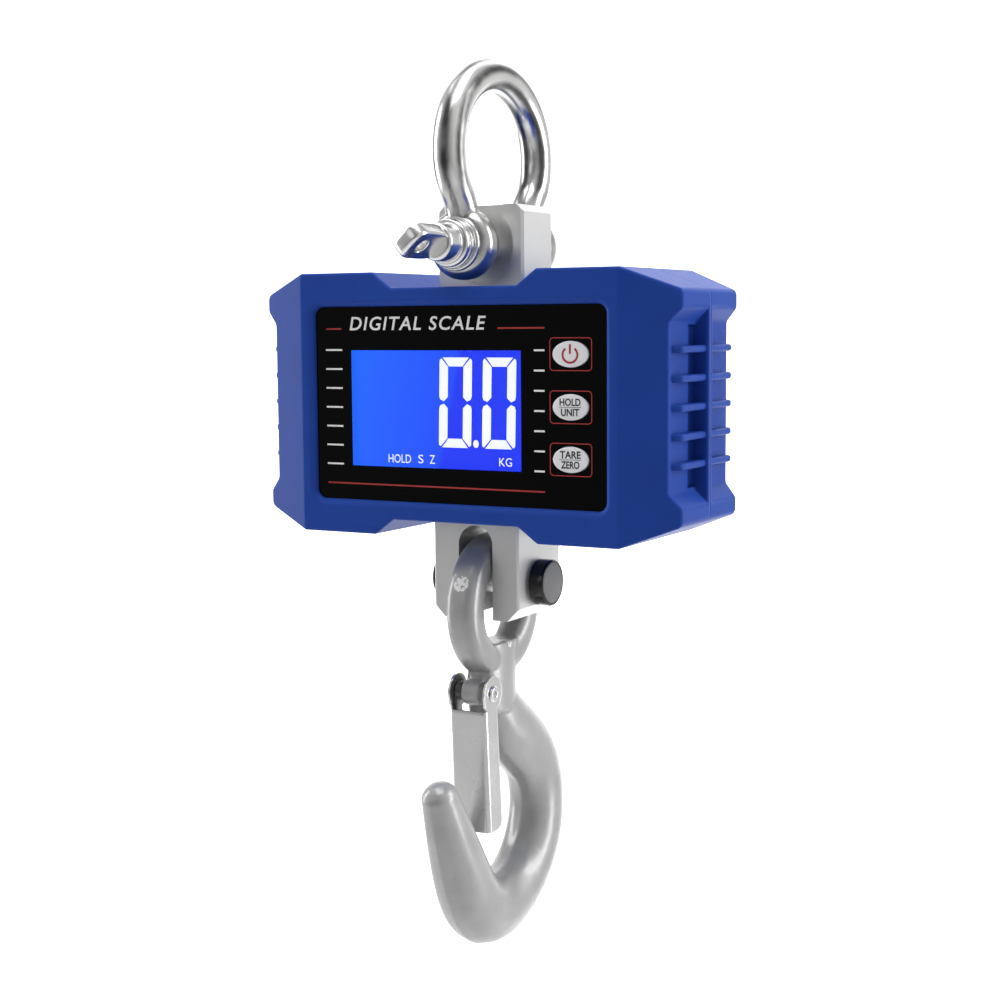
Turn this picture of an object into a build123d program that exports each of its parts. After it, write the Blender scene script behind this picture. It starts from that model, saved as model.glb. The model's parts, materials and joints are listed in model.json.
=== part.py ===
from build123d import *
from math import atan2, cos, degrees, hypot, radians, sin, sqrt
import os

# Hanging crane scale: shackle on top, display housing round a load cell, eye hook with latch below.
# Millimetres. The model is laid out about the housing's centre and moved at the end, so that
# the origin is at the top of the shackle's inner bow, where a crane hook bears.
# +Z is up along the load line, the display faces -Y and +X is to the viewer's right.

# housing
half_width = 82.5
half_height = 46.2
end_half_height = 38.7
flat_half_width = 62.7
front_depth = 31.1
end_depth = 23.75
valley_floor_half = 25.0
valley_top_half = 32.5
valley_depth = 5.5
wall = 2.5
pocket_depth = 4.3
pocket_half_height = 28.0
well_depth = 1.8
well_half = 9.4
rib_half = 1.7
fin_pitch = 9.6
fin_thickness = 2.4
fin_inset = 0.9
edge_round = 1.0
cavity_half_width = 58.0
cavity_rear_y = 28.6
cavity_round = 1.0
boss_radius = 4.0
shell_bolt_radius = 1.5

# battery cover
cover_half = (37.0, 26.5)
cover_hole = (28.0, 23.0)
cover_seat_y = 28.9
pad_inner_y = 27.1
cover_screw_x = 33.5

# display panel
recess_half = (58.0, 34.3)
panel_y = -28.6
overlay_thickness = 1.0
panel_inner_y = -25.4
lcd_x = (-43.0, 25.6)
lcd_z = (-22.1, 18.9)
key_x = 44.4
key_z = {"key_power": 17.7, "key_hold": 0.1, "key_tare": -17.4}
key_size = (13.3, 8.75)
key_proud = 0.5
key_travel = 0.6
key_gap = 0.25
board_y = (-14.6, -13.0)
board_screw_radius = 1.0

# load cell
cell_half_width = 17.2
head_half_depth = 11.0
clevis_half_depth = 15.8
head_top = 69.2
clevis_bottom = -76.5
slot_half = 6.85
slot_top = -43.0
cell_neck_z = 36.0
seal_overlap = 3.5
gauge_web_half = 4.0
gauge_pocket_radius = 8.0
gauge_z = 4.0
bracket_x = 30.0
bracket_z = 31.8
bracket_screw_z = (-6.0, 22.0)
lead_z = 10.0
cell_pitch = 15.2
cell_y = 20.1

# shackle
shackle_pin_z = 55.3
wire_radius = 5.7
ear_y = 21.8
ear_radius = 12.3
ear_half_thickness = 5.6
bow_half_width = 31.2
bow_equator_z = 86.5
bow_top_z = 114.6
crown_radius = 34.0
lower_radius = 22.0
shackle_pin_radius = 6.0
running_gap = 0.06
tab_twist = 42.0

# hook
hook_pin_z = -64.1
hook_pin_radius = 5.0
eye_radius = 14.6
eye_bar = 5.9
eye_thickness = 6.3
hang_gap = 0.3
latch_pivot = (-17.1, -38.5)
ear_outer = 6.3
latch_half_width = 7.5
latch_sheet = 0.8
latch_front = 5.9
latch_top = 5.8
latch_foot = (3.2, 50.1)
rivet_radius = 2.0
rivet_room = 4.2
lug_half = 3.4
spring_radius = 3.0
spring_wire = 0.42

inner_top_z = bow_top_z - wire_radius


def block(x, y, z):
    size = (x[1] - x[0], y[1] - y[0], z[1] - z[0])
    centre = ((x[0] + x[1]) / 2, (y[0] + y[1]) / 2, (z[0] + z[1]) / 2)
    return Pos(*centre) * Box(*size)


def rod_x(radius, x0, x1, y, z):
    return Pos((x0 + x1) / 2, y, z) * Rot(0, 90, 0) * Cylinder(radius, x1 - x0)


def rod_y(radius, y0, y1, x, z):
    return Pos(x, (y0 + y1) / 2, z) * Rot(90, 0, 0) * Cylinder(radius, y1 - y0)


def outline(points, radii):
    return make_face(FilletPolyline(*points, radius=radii, close=True))


def slab_y(points, radii, y0, y1):
    """An outline in X and Z, carried along Y."""
    plane = Plane(origin=(0, y1, 0), x_dir=(1, 0, 0), z_dir=(0, -1, 0))
    return extrude(plane * outline(points, radii), amount=y1 - y0)


def slab_z(points, radii, z0, z1):
    """An outline in X and Y, carried along Z."""
    return extrude(Pos(0, 0, z0) * outline(points, radii), amount=z1 - z0)


def slab_x(points, radii, x0, x1):
    """An outline in Y and Z, carried along X."""
    plane = Plane(origin=(x0, 0, 0), x_dir=(0, 1, 0), z_dir=(1, 0, 0))
    return extrude(plane * outline(points, radii), amount=x1 - x0)


def mirrored_loop(points, radii):
    """A right-hand run of points from top to bottom, closed by its mirror image in X."""
    left = [(-x, z) for x, z in reversed(points)]
    return points + left, radii + radii[::-1]


def joined(shapes):
    total = shapes[0]
    for shape in shapes[1:]:
        total += shape
    return total


# housing shells


def housing_elevation():
    """Front view of the shell: valleys at the middle, sloped shoulders, notched ends."""
    floor = half_height - valley_depth
    pocket_x = half_width - pocket_depth
    lip = pocket_half_height + pocket_depth + 0.4
    upper = [
        (valley_floor_half, floor),
        (valley_top_half, half_height),
        (flat_half_width, half_height),
        (half_width, end_half_height),
        (half_width, lip),
        (pocket_x, pocket_half_height),
    ]
    radii = [1.5, 1.5, 0, 2.6, 2.2, 2.2]
    lower = [(x, -z) for x, z in reversed(upper)]
    return mirrored_loop(upper + lower, radii + radii[::-1])


def housing_plan():
    """Top view of the shell: flat front and rear, facets, flat ends."""
    right = [
        (flat_half_width, front_depth),
        (half_width, end_depth),
        (half_width, -end_depth),
        (flat_half_width, -front_depth),
    ]
    return mirrored_loop(right, [0] * 4)


def housing_cavity():
    floor = half_height - valley_depth - wall
    inner_end = half_width - pocket_depth - well_depth - 1.6
    upper = [
        (valley_floor_half - 1, floor),
        (valley_top_half - 1, half_height - wall),
        (flat_half_width - 1, half_height - wall),
        (inner_end, end_half_height - 0.6),
    ]
    lower = [(x, -z) for x, z in reversed(upper)]
    elevation = mirrored_loop(upper + lower, [cavity_round] * 8)
    right = [
        (cavity_half_width, cavity_rear_y),
        (inner_end, 21.5),
        (inner_end, -20.0),
        (cavity_half_width, panel_inner_y),
    ]
    plan = mirrored_loop(right, [0] * 4)
    return slab_y(*elevation, -40, 40) & slab_z(*plan, -60, 60)


def end_fins():
    """Five rounded fins on each end, set back a little from the lips."""
    tip = half_width - fin_inset
    fins = []
    for side in (-1, 1):
        for step in range(-2, 3):
            z = step * fin_pitch
            front = [(70, -22.6), (77.6, -23.2), (tip, -21.6)]
            rear = [(x, -y) for x, y in reversed(front)]
            points = [(side * x, y) for x, y in front + rear]
            low = z - fin_thickness / 2
            fin = slab_z(points, [0, 1.0, 1.8, 1.8, 1.0, 0], low, low + fin_thickness)
            rim = fin.edges().filter_by(lambda e, s=side: s * e.center().X > 72)
            rim = rim.filter_by(lambda e: abs(abs(e.center().Z - z) - fin_thickness / 2) < 0.01)
            fins.append(fillet(rim, 0.9))
    return fins


def housing_body():
    """The closed outer form, with every edge rounded but those along Y at the ends and valleys."""
    body = slab_y(*housing_elevation(), -front_depth, front_depth)
    body = body & slab_z(*housing_plan(), -half_height - 1, half_height + 1)
    along_y = body.edges().filter_by(Axis.Y)
    rim = [e for e in body.edges() - along_y if abs(e.center().Y) > end_depth - 0.05]
    shoulders = [e for e in along_y if abs(abs(e.center().X) - flat_half_width) < 0.1]
    return fillet(rim + shoulders, edge_round)


def end_wells():
    """Deeper strips each side of the middle rib on both ends."""
    wells = []
    floor = half_width - pocket_depth - well_depth
    for side in (-1, 1):
        for y in ((-well_half, -rib_half), (rib_half, well_half)):
            x = sorted((side * floor, side * 90))
            wells.append(block(x, y, (-pocket_half_height + 0.8, pocket_half_height - 0.8)))
    return wells


def end_ribs():
    ribs = []
    for side in (-1, 1):
        x = sorted((side * 75.8, side * half_width))
        rib = block(x, (-rib_half, rib_half), (-pocket_half_height - 5.5, pocket_half_height + 5.5))
        outer = [e for e in rib.edges().filter_by(Axis.Z) if abs(e.center().X) > half_width - 0.1]
        ribs.append(fillet(outer, 0.6))
    return ribs


def screw_places():
    return [(x, z) for x in (-67.0, 67.0) for z in (-33.0, 33.0)]


def parting_gasket_loop():
    """The strip that lies in grooves in the two parting faces."""
    shape = outline(*housing_elevation())
    outer = offset(shape, amount=-0.8)
    inner = offset(shape, amount=-1.7)
    ring = extrude(Plane.XZ * (outer - inner), amount=0.5, both=True)
    gap = block((-cell_half_width - 1.2, cell_half_width + 1.2), (-5, 5), (-60, 60))
    return ring - gap


def whole_shell():
    body = housing_body()
    for well in end_wells():
        body -= well
    body = joined([body] + end_fins() + end_ribs())
    body -= housing_cavity()
    gap = 0.3
    upper = (-cell_half_width - gap, cell_half_width + gap)
    body -= block(upper, (-head_half_depth - gap, head_half_depth + gap), (30, 50))
    body -= block(upper, (-clevis_half_depth - gap, clevis_half_depth + gap), (-50, -30))
    return body


def panel_cut():
    """The recess in the front with its rolled edge, and the openings behind the panel."""
    w, h = recess_half
    floor = panel_y + overlay_thickness
    corners = [(w, h), (w, -h), (-w, -h), (-w, h)]
    recess = slab_y(corners, [3.5] * 4, -front_depth - 1, floor)
    lens = block((lcd_x[0] - 1.8, lcd_x[1] + 1.8), (-30, -20), (lcd_z[0] - 1.8, lcd_z[1] + 1.8))
    cuts = [recess, lens]
    for z in key_z.values():
        cuts.append(oval_y(key_gap, -30, -20, z))
    return cuts


def oval_y(grow, y0, y1, z):
    face = Ellipse(key_size[0] / 2 + grow, key_size[1] / 2 + grow)
    plane = Plane(origin=(key_x, y1, z), x_dir=(1, 0, 0), z_dir=(0, -1, 0))
    return extrude(plane * face, amount=y1 - y0)


def board_posts():
    return [(x, z) for x in (-51.5, 56.0) for z in (-28.0, 28.0)]


def front_shell(body):
    shell = body - block((-90, 90), (0, 60), (-60, 60))
    for cut in panel_cut():
        shell -= cut
    corner = [
        e
        for e in shell.edges()
        if abs(e.center().Y + front_depth) < 0.01
        and abs(e.center().X) <= recess_half[0] + 0.1
        and abs(e.center().Z) <= recess_half[1] + 0.1
    ]
    shell = fillet(corner, 2.3)
    for x, z in screw_places():
        post = rod_y(boss_radius, -26, -0.02, x, z) & slab_z(*housing_plan(), -60, 60)
        shell += post
        shell -= rod_y(shell_bolt_radius, -14, 1, x, z)
    for x, z in board_posts():
        shell += rod_y(2.6, panel_inner_y - 0.2, board_y[0], x, z)
        shell -= rod_y(board_screw_radius, -22, -10, x, z)
    return shell - parting_gasket_loop()


def rear_shell(body):
    shell = body - block((-90, 90), (-60, 0), (-60, 60))
    w, h = cover_half
    pad = block((-w - 3, w + 3), (pad_inner_y, 29.5), (-h - 3, h + 3))
    shell += pad
    corners = [(w, h), (w, -h), (-w, -h), (-w, h)]
    shell -= slab_y(corners, [4.0] * 4, cover_seat_y, 33)
    shell -= block((-cover_hole[0], cover_hole[0]), (20, 40), (-cover_hole[1], cover_hole[1]))
    for x, z in screw_places():
        shell += rod_y(boss_radius, 0.02, 27.5, x, z)
        shell -= rod_y(shell_bolt_radius + 0.2, -1, 40, x, z)
        shell -= rod_y(3.2, 20, 40, x, z)
    for x in (-cover_screw_x, cover_screw_x):
        shell -= rod_y(1.3, 20, 40, x, 0)
    for x in (-bracket_x, bracket_x):
        shell += rod_y(3.2, 7.6, 28.2, x, bracket_z)
        shell -= rod_y(1.25, 7, 16, x, bracket_z)
    return shell - parting_gasket_loop()


def battery_cover():
    w, h = cover_half[0] - 0.25, cover_half[1] - 0.25
    corners = [(w, h), (w, -h), (-w, -h), (-w, h)]
    cover = slab_y(corners, [3.8] * 4, 29.5, front_depth)
    cover += block((-27.6, 27.6), (28.2, 29.6), (-22.6, 22.6))
    for x in (-cover_screw_x, cover_screw_x):
        cover -= rod_y(1.6, 20, 40, x, 0)
        cover -= rod_y(2.9, 30.1, 40, x, 0)
    return cover


def cover_gasket():
    outer = block((-31.0, 31.0), (cover_seat_y, 29.5), (-25.6, 25.6))
    return outer - block((-28.0, 28.0), (28, 30), (-23.0, 23.0))


def screw_y(radius, head_radius, head_y, head_height, tip_y, x, z):
    """A screw along Y with a round head and a cross recess in it."""
    low, high = sorted((head_y, head_y + head_height))
    head = rod_y(head_radius, low, high, x, z)
    shank = rod_y(radius, *sorted((head_y, tip_y)), x, z)
    outer = head_y + head_height
    depth = sorted((outer, outer - head_height * 0.5))
    cross = block((x - 1.5, x + 1.5), depth, (z - 0.3, z + 0.3))
    cross += block((x - 0.3, x + 0.3), depth, (z - 1.5, z + 1.5))
    return head + shank - cross


def shell_screws():
    return [screw_y(shell_bolt_radius, 2.9, 20.0, 2.0, -13.5, x, z) for x, z in screw_places()]


def cover_screws():
    return [screw_y(1.3, 2.6, 30.1, 0.9, 27.3, x, 0) for x in (-cover_screw_x, cover_screw_x)]


# display


def panel_overlay():
    w, h = recess_half[0] - 0.15, recess_half[1] - 0.15
    corners = [(w, h), (w, -h), (-w, -h), (-w, h)]
    plate = slab_y(corners, [3.3] * 4, panel_y, panel_y + overlay_thickness)
    plate -= block(lcd_x, (-30, -20), lcd_z)
    for z in key_z.values():
        plate -= oval_y(key_gap, -30, -20, z)
    return plate


def lcd_window():
    front = block(
        (lcd_x[0] + 0.05, lcd_x[1] - 0.05),
        (panel_y + 0.1, panel_y + overlay_thickness),
        (lcd_z[0] + 0.05, lcd_z[1] - 0.05),
    )
    back = block(
        (lcd_x[0] - 1.7, lcd_x[1] + 1.7),
        (panel_y + overlay_thickness, panel_inner_y),
        (lcd_z[0] - 1.7, lcd_z[1] + 1.7),
    )
    return front + back


def lcd_glass():
    return block((-45.2, 27.8), (panel_inner_y, -22.6), (-24.4, 21.4))


def lcd_backlight():
    return block((-44.4, 27.0), (-22.6, -18.6), (-23.8, 20.8))


def display_board():
    board = block((-55.5, 59.0), board_y, (-30.5, 30.5))
    for x, z in board_posts():
        board -= rod_y(1.1, -20, -10, x, z)
    chip = block((-32.0, -20.0), (board_y[1], board_y[1] + 1.4), (-27.0, -15.0))
    pins = block((-40.0, 22.0), (-18.6, board_y[0]), (-24.0, -22.0))
    buzzer = rod_y(4.5, board_y[0] - 4.0, board_y[0], 46.0, -25.5)
    return board + chip + pins + buzzer


def board_screws():
    return [screw_y(board_screw_radius, 2.0, board_y[1], 1.2, -21.5, x, z) for x, z in board_posts()]


def key_piece(z):
    """An oval key with a retaining flange behind the wall and a stem to its switch."""
    cap = oval_y(0, panel_y - key_proud, panel_inner_y + 0.2, z)
    edge = [e for e in cap.edges() if abs(e.center().Y - (panel_y - key_proud)) < 0.01]
    cap = fillet(edge, 0.35)
    flange = oval_y(0.9, panel_inner_y + 0.1, panel_inner_y + 1.0, z)
    stem = rod_y(1.8, panel_inner_y + 0.9, board_y[0] - 3.8, key_x, z)
    return cap + flange + stem


def tact_switches():
    """One switch behind each key; its button is clear of the stem by just over the travel."""
    switches = []
    for z in key_z.values():
        body = block((key_x - 3, key_x + 3), (board_y[0] - 2.6, board_y[0]), (z - 3, z + 3))
        button = rod_y(1.6, board_y[0] - 3.8 + key_travel + 0.05, board_y[0] - 2.5, key_x, z)
        switches.append(body + button)
    return switches


# load cell and what is fixed to it


def chamfered_column(half_depth, z0, z1, top_cut, bottom_cut):
    w = cell_half_width
    right = [(w - top_cut, z1), (w, z1 - top_cut), (w, z0 + bottom_cut), (w - bottom_cut, z0)]
    return slab_y(*mirrored_loop(right, [0] * 4), -half_depth, half_depth)


def load_cell():
    head = chamfered_column(head_half_depth, -cell_neck_z - 1, head_top, 2.6, 0.5)
    edges = [e for e in head.edges().filter_by(Axis.Z) if e.center().Z > 0]
    head = chamfer(edges, 0.9)
    clevis = chamfered_column(clevis_half_depth, clevis_bottom, -cell_neck_z, 0.5, 4.5)
    edges = [e for e in clevis.edges().filter_by(Axis.Z)]
    clevis = chamfer(edges, 0.7)
    cell = head + clevis
    slot = [(slot_half, slot_top), (slot_half, -90), (-slot_half, -90), (-slot_half, slot_top)]
    cell -= slab_y(slot, [slot_half - 0.05, 0, 0, slot_half - 0.05], -20, 20)
    cell -= rod_y(shackle_pin_radius + running_gap, -20, 20, 0, shackle_pin_z)
    cell -= rod_x(hook_pin_radius, -20, 20, 0, hook_pin_z)
    for side in (-1, 1):
        y = sorted((side * (head_half_depth - 3.0), side * 20))
        cell -= rod_y(13.3, *y, 0, shackle_pin_z)
        cell -= block((-9.2, 9.2), y, (shackle_pin_z, 80))
        y = sorted((side * gauge_web_half, side * 20))
        cell -= rod_y(gauge_pocket_radius, *y, 0, gauge_z)
    cell -= rod_x(1.6, 4, 20, 0, lead_z)
    for side in (-1, 1):
        for z in bracket_screw_z:
            cell -= rod_x(1.5, *sorted((side * 11.0, side * 20)), 0, z)
    return cell


def strain_gauges():
    pads = []
    for side in (-1, 1):
        y = sorted((side * gauge_web_half, side * (gauge_web_half + 0.25)))
        for x in (-2.4, 2.4):
            pads.append(block((x - 1.9, x + 1.9), y, (gauge_z - 3.5, gauge_z + 3.5)))
    return pads


def gauge_covers():
    covers = []
    for side in (-1, 1):
        y = sorted((side * (head_half_depth - 1.4), side * head_half_depth))
        covers.append(rod_y(gauge_pocket_radius, *y, 0, gauge_z))
    return covers


def lead(points, radius, diameter):
    """A cable held along its whole route: straight runs joined by tangent arcs."""
    path = FilletPolyline(*points, radius=radius)
    start = Plane(origin=path @ 0, z_dir=path % 0)
    return sweep(start * Circle(diameter / 2), path=path)


def gauge_cable():
    points = [(7.4, 0, lead_z), (27.0, 0, lead_z), (27.0, board_y[1], lead_z)]
    return lead(points, 5.0, 3.0)


def battery_lead():
    points = [(29.4, 17.0, -12.0), (44.0, 17.0, -12.0), (44.0, board_y[1], -12.0)]
    return lead(points, 5.0, 2.4)


def cell_brackets():
    """Angle plates that hold the rear shell to the load cell."""
    brackets = []
    for side in (-1, 1):
        near = side * cell_half_width
        wing_y = (6.1, 7.6)
        foot = block(sorted((near, near + side * 1.5)), (-5, wing_y[1]), (-12, 36))
        wing = block(sorted((near, near + side * 17.0)), wing_y, (26, 36))
        bracket = foot + wing
        through = sorted((near - side, near + side * 3))
        for z in bracket_screw_z:
            bracket -= rod_x(1.6, *through, 0, z)
        bracket -= rod_x(2.0, *through, 0, lead_z)
        bracket -= rod_y(1.4, 0, 20, side * bracket_x, bracket_z)
        brackets.append(bracket)
    return brackets


def bracket_screws():
    screws = []
    for side in (-1, 1):
        outer = cell_half_width + 1.5
        for z in bracket_screw_z:
            head = rod_x(2.8, *sorted((side * outer, side * (outer + 1.8))), 0, z)
            shank = rod_x(1.5, *sorted((side * 11.2, side * (outer + 0.5))), 0, z)
            screws.append(head + shank)
        head = rod_y(2.4, 4.6, 6.1, side * bracket_x, bracket_z)
        shank = rod_y(1.25, 6.0, 15.0, side * bracket_x, bracket_z)
        screws.append(head + shank)
    return screws


def cell_seal(half_depth, z0, z1):
    """A rubber frame that closes the gap between shell and load cell from inside."""
    w = cell_half_width
    x = w + seal_overlap
    y = half_depth + seal_overlap
    frame = block((-x, x), (-y, y), (z0, z1))
    return frame - block((-w, w), (-half_depth, half_depth), (z0 - 1, z1 + 1))


def top_seal():
    floor = half_height - valley_depth - wall
    return cell_seal(head_half_depth, floor - 2.0, floor)


def bottom_seal():
    floor = half_height - valley_depth - wall
    return cell_seal(clevis_half_depth, -floor, -floor + 1.8)


# battery pack


def battery_tray():
    tray = block((-29.4, 29.4), (11.7, pad_inner_y), (-24.2, 24.2))
    tray -= block((-28.2, 28.2), (12.9, 40), (-23.0, 23.0))
    for z in (-cell_pitch / 2, cell_pitch / 2):
        tray += block((-20, 20), (12.5, 15.0), (z - 0.25, z + 0.25))
    return tray


def battery_cells():
    cells = []
    for z in (-cell_pitch, 0.0, cell_pitch):
        side = 1 if z == 0 else -1
        body = rod_x(7.1, -24.9, 24.9, cell_y, z)
        body = fillet(body.edges(), 0.6)
        nub = rod_x(2.6, *sorted((side * 24.8, side * 26.0)), cell_y, z)
        cells.append(body + nub)
    return cells


def battery_contacts():
    plates = []
    for z in (-cell_pitch, 0.0, cell_pitch):
        for side in (-1, 1):
            pole = 1 if z == 0 else -1
            plate = block(sorted((side * 28.2, side * 27.8)), (14.6, 25.6), (z - 5.5, z + 5.5))
            reach = 26.0 if side == pole else 24.9
            stud = rod_x(2.4, *sorted((side * 27.9, side * reach)), cell_y, z)
            plates.append(plate + stud)
    return plates


# shackle


def bow_path():
    """Half of the bow, from its foot to the crown, as four tangent arcs in Y and Z."""
    crown_z = bow_top_z - crown_radius
    rise = bow_equator_z - crown_z
    # side arc tangent to the crown arc and vertical at the widest place
    reach = crown_radius - bow_half_width
    side_radius = (crown_radius**2 - bow_half_width**2 - rise**2) / (2 * reach)
    side_angle = degrees(atan2(rise, bow_half_width - side_radius))
    # lower arcs: in towards the ear, then straight again
    lean = 38.0
    drop_in = lower_radius * (1 - cos(radians(lean)))
    foot_radius = (bow_half_width - drop_in - ear_y) / (1 - cos(radians(lean)))
    foot_z = bow_equator_z - (lower_radius + foot_radius) * sin(radians(lean))
    start = Line((ear_y, shackle_pin_z), (ear_y, foot_z))
    foot = JernArc(start @ 1, (0, 1), foot_radius, -lean)
    lower = JernArc(foot @ 1, foot % 1, lower_radius, lean)
    side = JernArc(lower @ 1, lower % 1, side_radius, side_angle)
    crown = JernArc(side @ 1, side % 1, crown_radius, 90 - side_angle)
    return [start, foot, lower, side, crown]


def shackle_bow():
    half = Wire([e for e in (Curve() + bow_path()).edges()])
    half = Plane.YZ * half
    section = Plane(origin=half @ 0, z_dir=half % 0) * Circle(wire_radius)
    leg = sweep(section, path=half)
    bow = leg + mirror(leg, about=Plane.XZ)
    for side in (-1, 1):
        y = side * ear_y
        faces = (y - ear_half_thickness, y + ear_half_thickness)
        ear = rod_y(ear_radius, *faces, 0, shackle_pin_z)
        ear = fillet(ear.edges().filter_by(GeomType.CIRCLE), ear_half_thickness - 1.2)
        bow += ear
        outer = y + side * (ear_half_thickness + 1.2)
        boss = rod_y(9.4, *sorted((y, outer)), 0, shackle_pin_z)
        bow += boss
    bow -= rod_y(shackle_pin_radius + running_gap, -40, 40, 0, shackle_pin_z)
    return bow


def shackle_pin():
    """Screw pin: shaft, collar, round boss and a twisted flat tab with a locking eye."""
    boss_face = -ear_y - ear_half_thickness - 1.2
    collar_y = (boss_face - 5.2, boss_face - 0.15)
    end_y = ear_y + ear_half_thickness + 2.4
    pin = rod_y(shackle_pin_radius, collar_y[0], end_y, 0, shackle_pin_z)
    collar = rod_y(8.4, *collar_y, 0, shackle_pin_z)
    pin += fillet(collar.edges().filter_by(GeomType.CIRCLE), 1.2)
    neck = rod_y(6.4, collar_y[0] - 8.0, collar_y[0] + 0.5, 0, shackle_pin_z)
    pin += fillet(neck.edges().filter_by(GeomType.CIRCLE).sort_by(Axis.Y)[:1], 1.5)
    tab_y = (-60.0, collar_y[0] - 4.0)
    half_w, half_t = 6.3, 2.75
    points = [(-half_w, tab_y[1]), (-half_w, tab_y[0]), (half_w, tab_y[0]), (half_w, tab_y[1])]
    tab = slab_z(points, [0, 5.2, 5.2, 0], -half_t, half_t)
    rim = [e for e in tab.edges() if abs(abs(e.center().Z) - half_t) < 0.01]
    rim = [e for e in rim if e.center().Y < tab_y[1] - 0.1]
    tab = fillet(rim, 1.2)
    eye_y = tab_y[0] + 7.6
    tab -= Pos(0, eye_y, 0) * Cylinder(2.75, 20)
    return pin + Pos(0, 0, shackle_pin_z) * Rot(0, -tab_twist, 0) * tab


# hook, laid out from its pin's axis, Y then Z


hook_line = [
    (-3.0, -43.0), (6.0, -55.0), (24.5, -72.5), (28.5, -94.0),
    (10.0, -117.0), (-13.5, -119.0), (-29.5, -98.5), (-43.0, -69.0),
]
hook_depth = [9.0, 11.8, 12.0, 11.2, 11.2, 12.0, 10.6, 6.4]
hook_thick = [6.2, 8.2, 9.3, 9.8, 10.2, 9.8, 7.9, 6.0]
# place in Y and Z, half depth, half thickness
hook_neck_line = [
    (-2.8, -22.0, 13.0, 6.2),
    (-4.0, -30.0, 12.6, 6.6),
    (-5.0, -38.0, 12.4, 6.8),
    (-3.5, -47.0, 12.0, 6.9),
]


def between(values, t):
    i = min(int(t), len(values) - 2)
    return values[i] + (values[i + 1] - values[i]) * (t - i)


def hook_section(point, direction, depth, thick):
    plane = Plane(
        origin=(0, point.X, point.Y),
        x_dir=(0, -direction.Y, direction.X),
        z_dir=(0, direction.X, direction.Y),
    )
    return plane * Ellipse(depth, thick)


def hook_arm():
    """The bowl: ellipses along a smooth line, narrowing to a round tip."""
    line = Spline(hook_line)
    places = [line.param_at_point(Vector(y, z)) for y, z in hook_line]
    sections = []
    for i in range(2 * len(hook_line) - 1):
        u = between(places, i / 2)
        depth = between(hook_depth, i / 2)
        thick = between(hook_thick, i / 2)
        sections.append(hook_section(line @ u, line % u, depth, thick))
    for k in (0.45, 0.8, 0.97):
        point = line @ 1 + line % 1 * (k * hook_depth[-1])
        shrink = sqrt(1 - k**2)
        depth = shrink * hook_depth[-1]
        thick = shrink * hook_thick[-1]
        sections.append(hook_section(point, line % 1, depth, thick))
    return loft(sections)


def hook_eye():
    mean = eye_radius + eye_bar
    centre = eye_centre()
    plane = Plane(origin=(0, 0, 0), x_dir=(0, 1, 0), z_dir=(0, 0, 1))
    ring = revolve(plane * Pos(mean, 0) * Ellipse(eye_bar, eye_thickness), axis=Axis.X)
    return Pos(0, *centre) * ring


def eye_centre():
    """The eye hangs on its pin, a little forward because the empty hook's weight is behind it."""
    drop = eye_radius - hook_pin_radius - hang_gap
    forward = 2.8
    return (-forward, -sqrt(drop**2 - forward**2))


def hook_neck():
    """From the eye down to the shoulder of the bowl."""
    return loft([Pos(0, y, z) * Ellipse(thick, depth) for y, z, depth, thick in hook_neck_line])


def hook():
    y, z = latch_pivot
    body = hook_arm() + hook_eye() + hook_neck()
    eye_y, eye_z = eye_centre()
    body -= rod_x(eye_radius, -20, 20, eye_y, eye_z)
    lug = [(y - 4.6, z + 3.0), (y + 6, z + 10), (y + 10, z - 12), (y + 1.0, z - 6.5), (y - 4.6, z - 3.6)]
    body += slab_x(lug, [3.0, 0, 0, 3.0, 3.0], -lug_half, lug_half)
    body -= rod_x(rivet_radius, -9, 9, y, z)
    for side in (-1, 1):
        body -= rod_x(rivet_room, *sorted((side * lug_half, side * 12)), y, z)
    return body


def latch():
    """A pressed U channel with two ears; local axes through its pivot."""
    w, t = latch_half_width, latch_sheet
    front, top = latch_front, latch_top
    foot_y, foot_z = latch_foot
    side = [
        (-front, -top), (-foot_y, -foot_z), (6.0, -foot_z + 0.5),
        (2.6, -8.0), (3.4, -2.0), (-front, -2.0),
    ]
    solid = slab_x(side, [0, 1.0, 3.6, 12.0, 0, 0], -w, w)
    solid += rod_x(ear_outer, -w, w, 0, 0)
    rise, run = foot_z - top, front - foot_y
    across = t * rise / hypot(rise, run)
    along = t * run / hypot(rise, run)
    inner = [
        (-front + across, -top + along + 20), (-front + across, -top + along),
        (-foot_y + across, -foot_z + along - 5), (30, -60), (30, 20),
    ]
    solid -= slab_x(inner, [0] * 5, -w + t, w - t)
    solid -= block((-w + t, w - t), (-30, 30), (-top, 20))
    solid -= block((-w, w), (-30, -ear_outer), (-top, 20))
    solid -= rod_x(rivet_radius + 0.05, -20, 20, 0, 0)
    return Pos(0, *latch_pivot) * solid


def latch_rivet():
    y, z = latch_pivot
    shaft = rod_x(rivet_radius, -latch_half_width - 0.9, latch_half_width + 0.9, y, z)
    for side in (-1, 1):
        x = sorted((side * (latch_half_width + 0.1), side * (latch_half_width + 1.0)))
        head = rod_x(2.9, *x, y, z)
        shaft += fillet(head.edges().filter_by(GeomType.CIRCLE), 0.35)
        shaft -= rod_x(1.1, *sorted((side * (latch_half_width + 0.2), side * 12)), y, z)
    return shaft


def latch_spring():
    """Torsion spring round the rivet: three turns and a leg that bears on the channel's front."""
    y, z = latch_pivot
    turn = Rot(0, 90, 0) * Torus(spring_radius, spring_wire)
    coil = [Pos(-6.0 + 0.9 * i, y, z) * turn for i in range(3)]
    leg = Pos(-6.0, y - spring_radius, z - 6.5) * Cylinder(spring_wire, 12.0)
    return coil + [leg]


# hook pin


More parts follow.
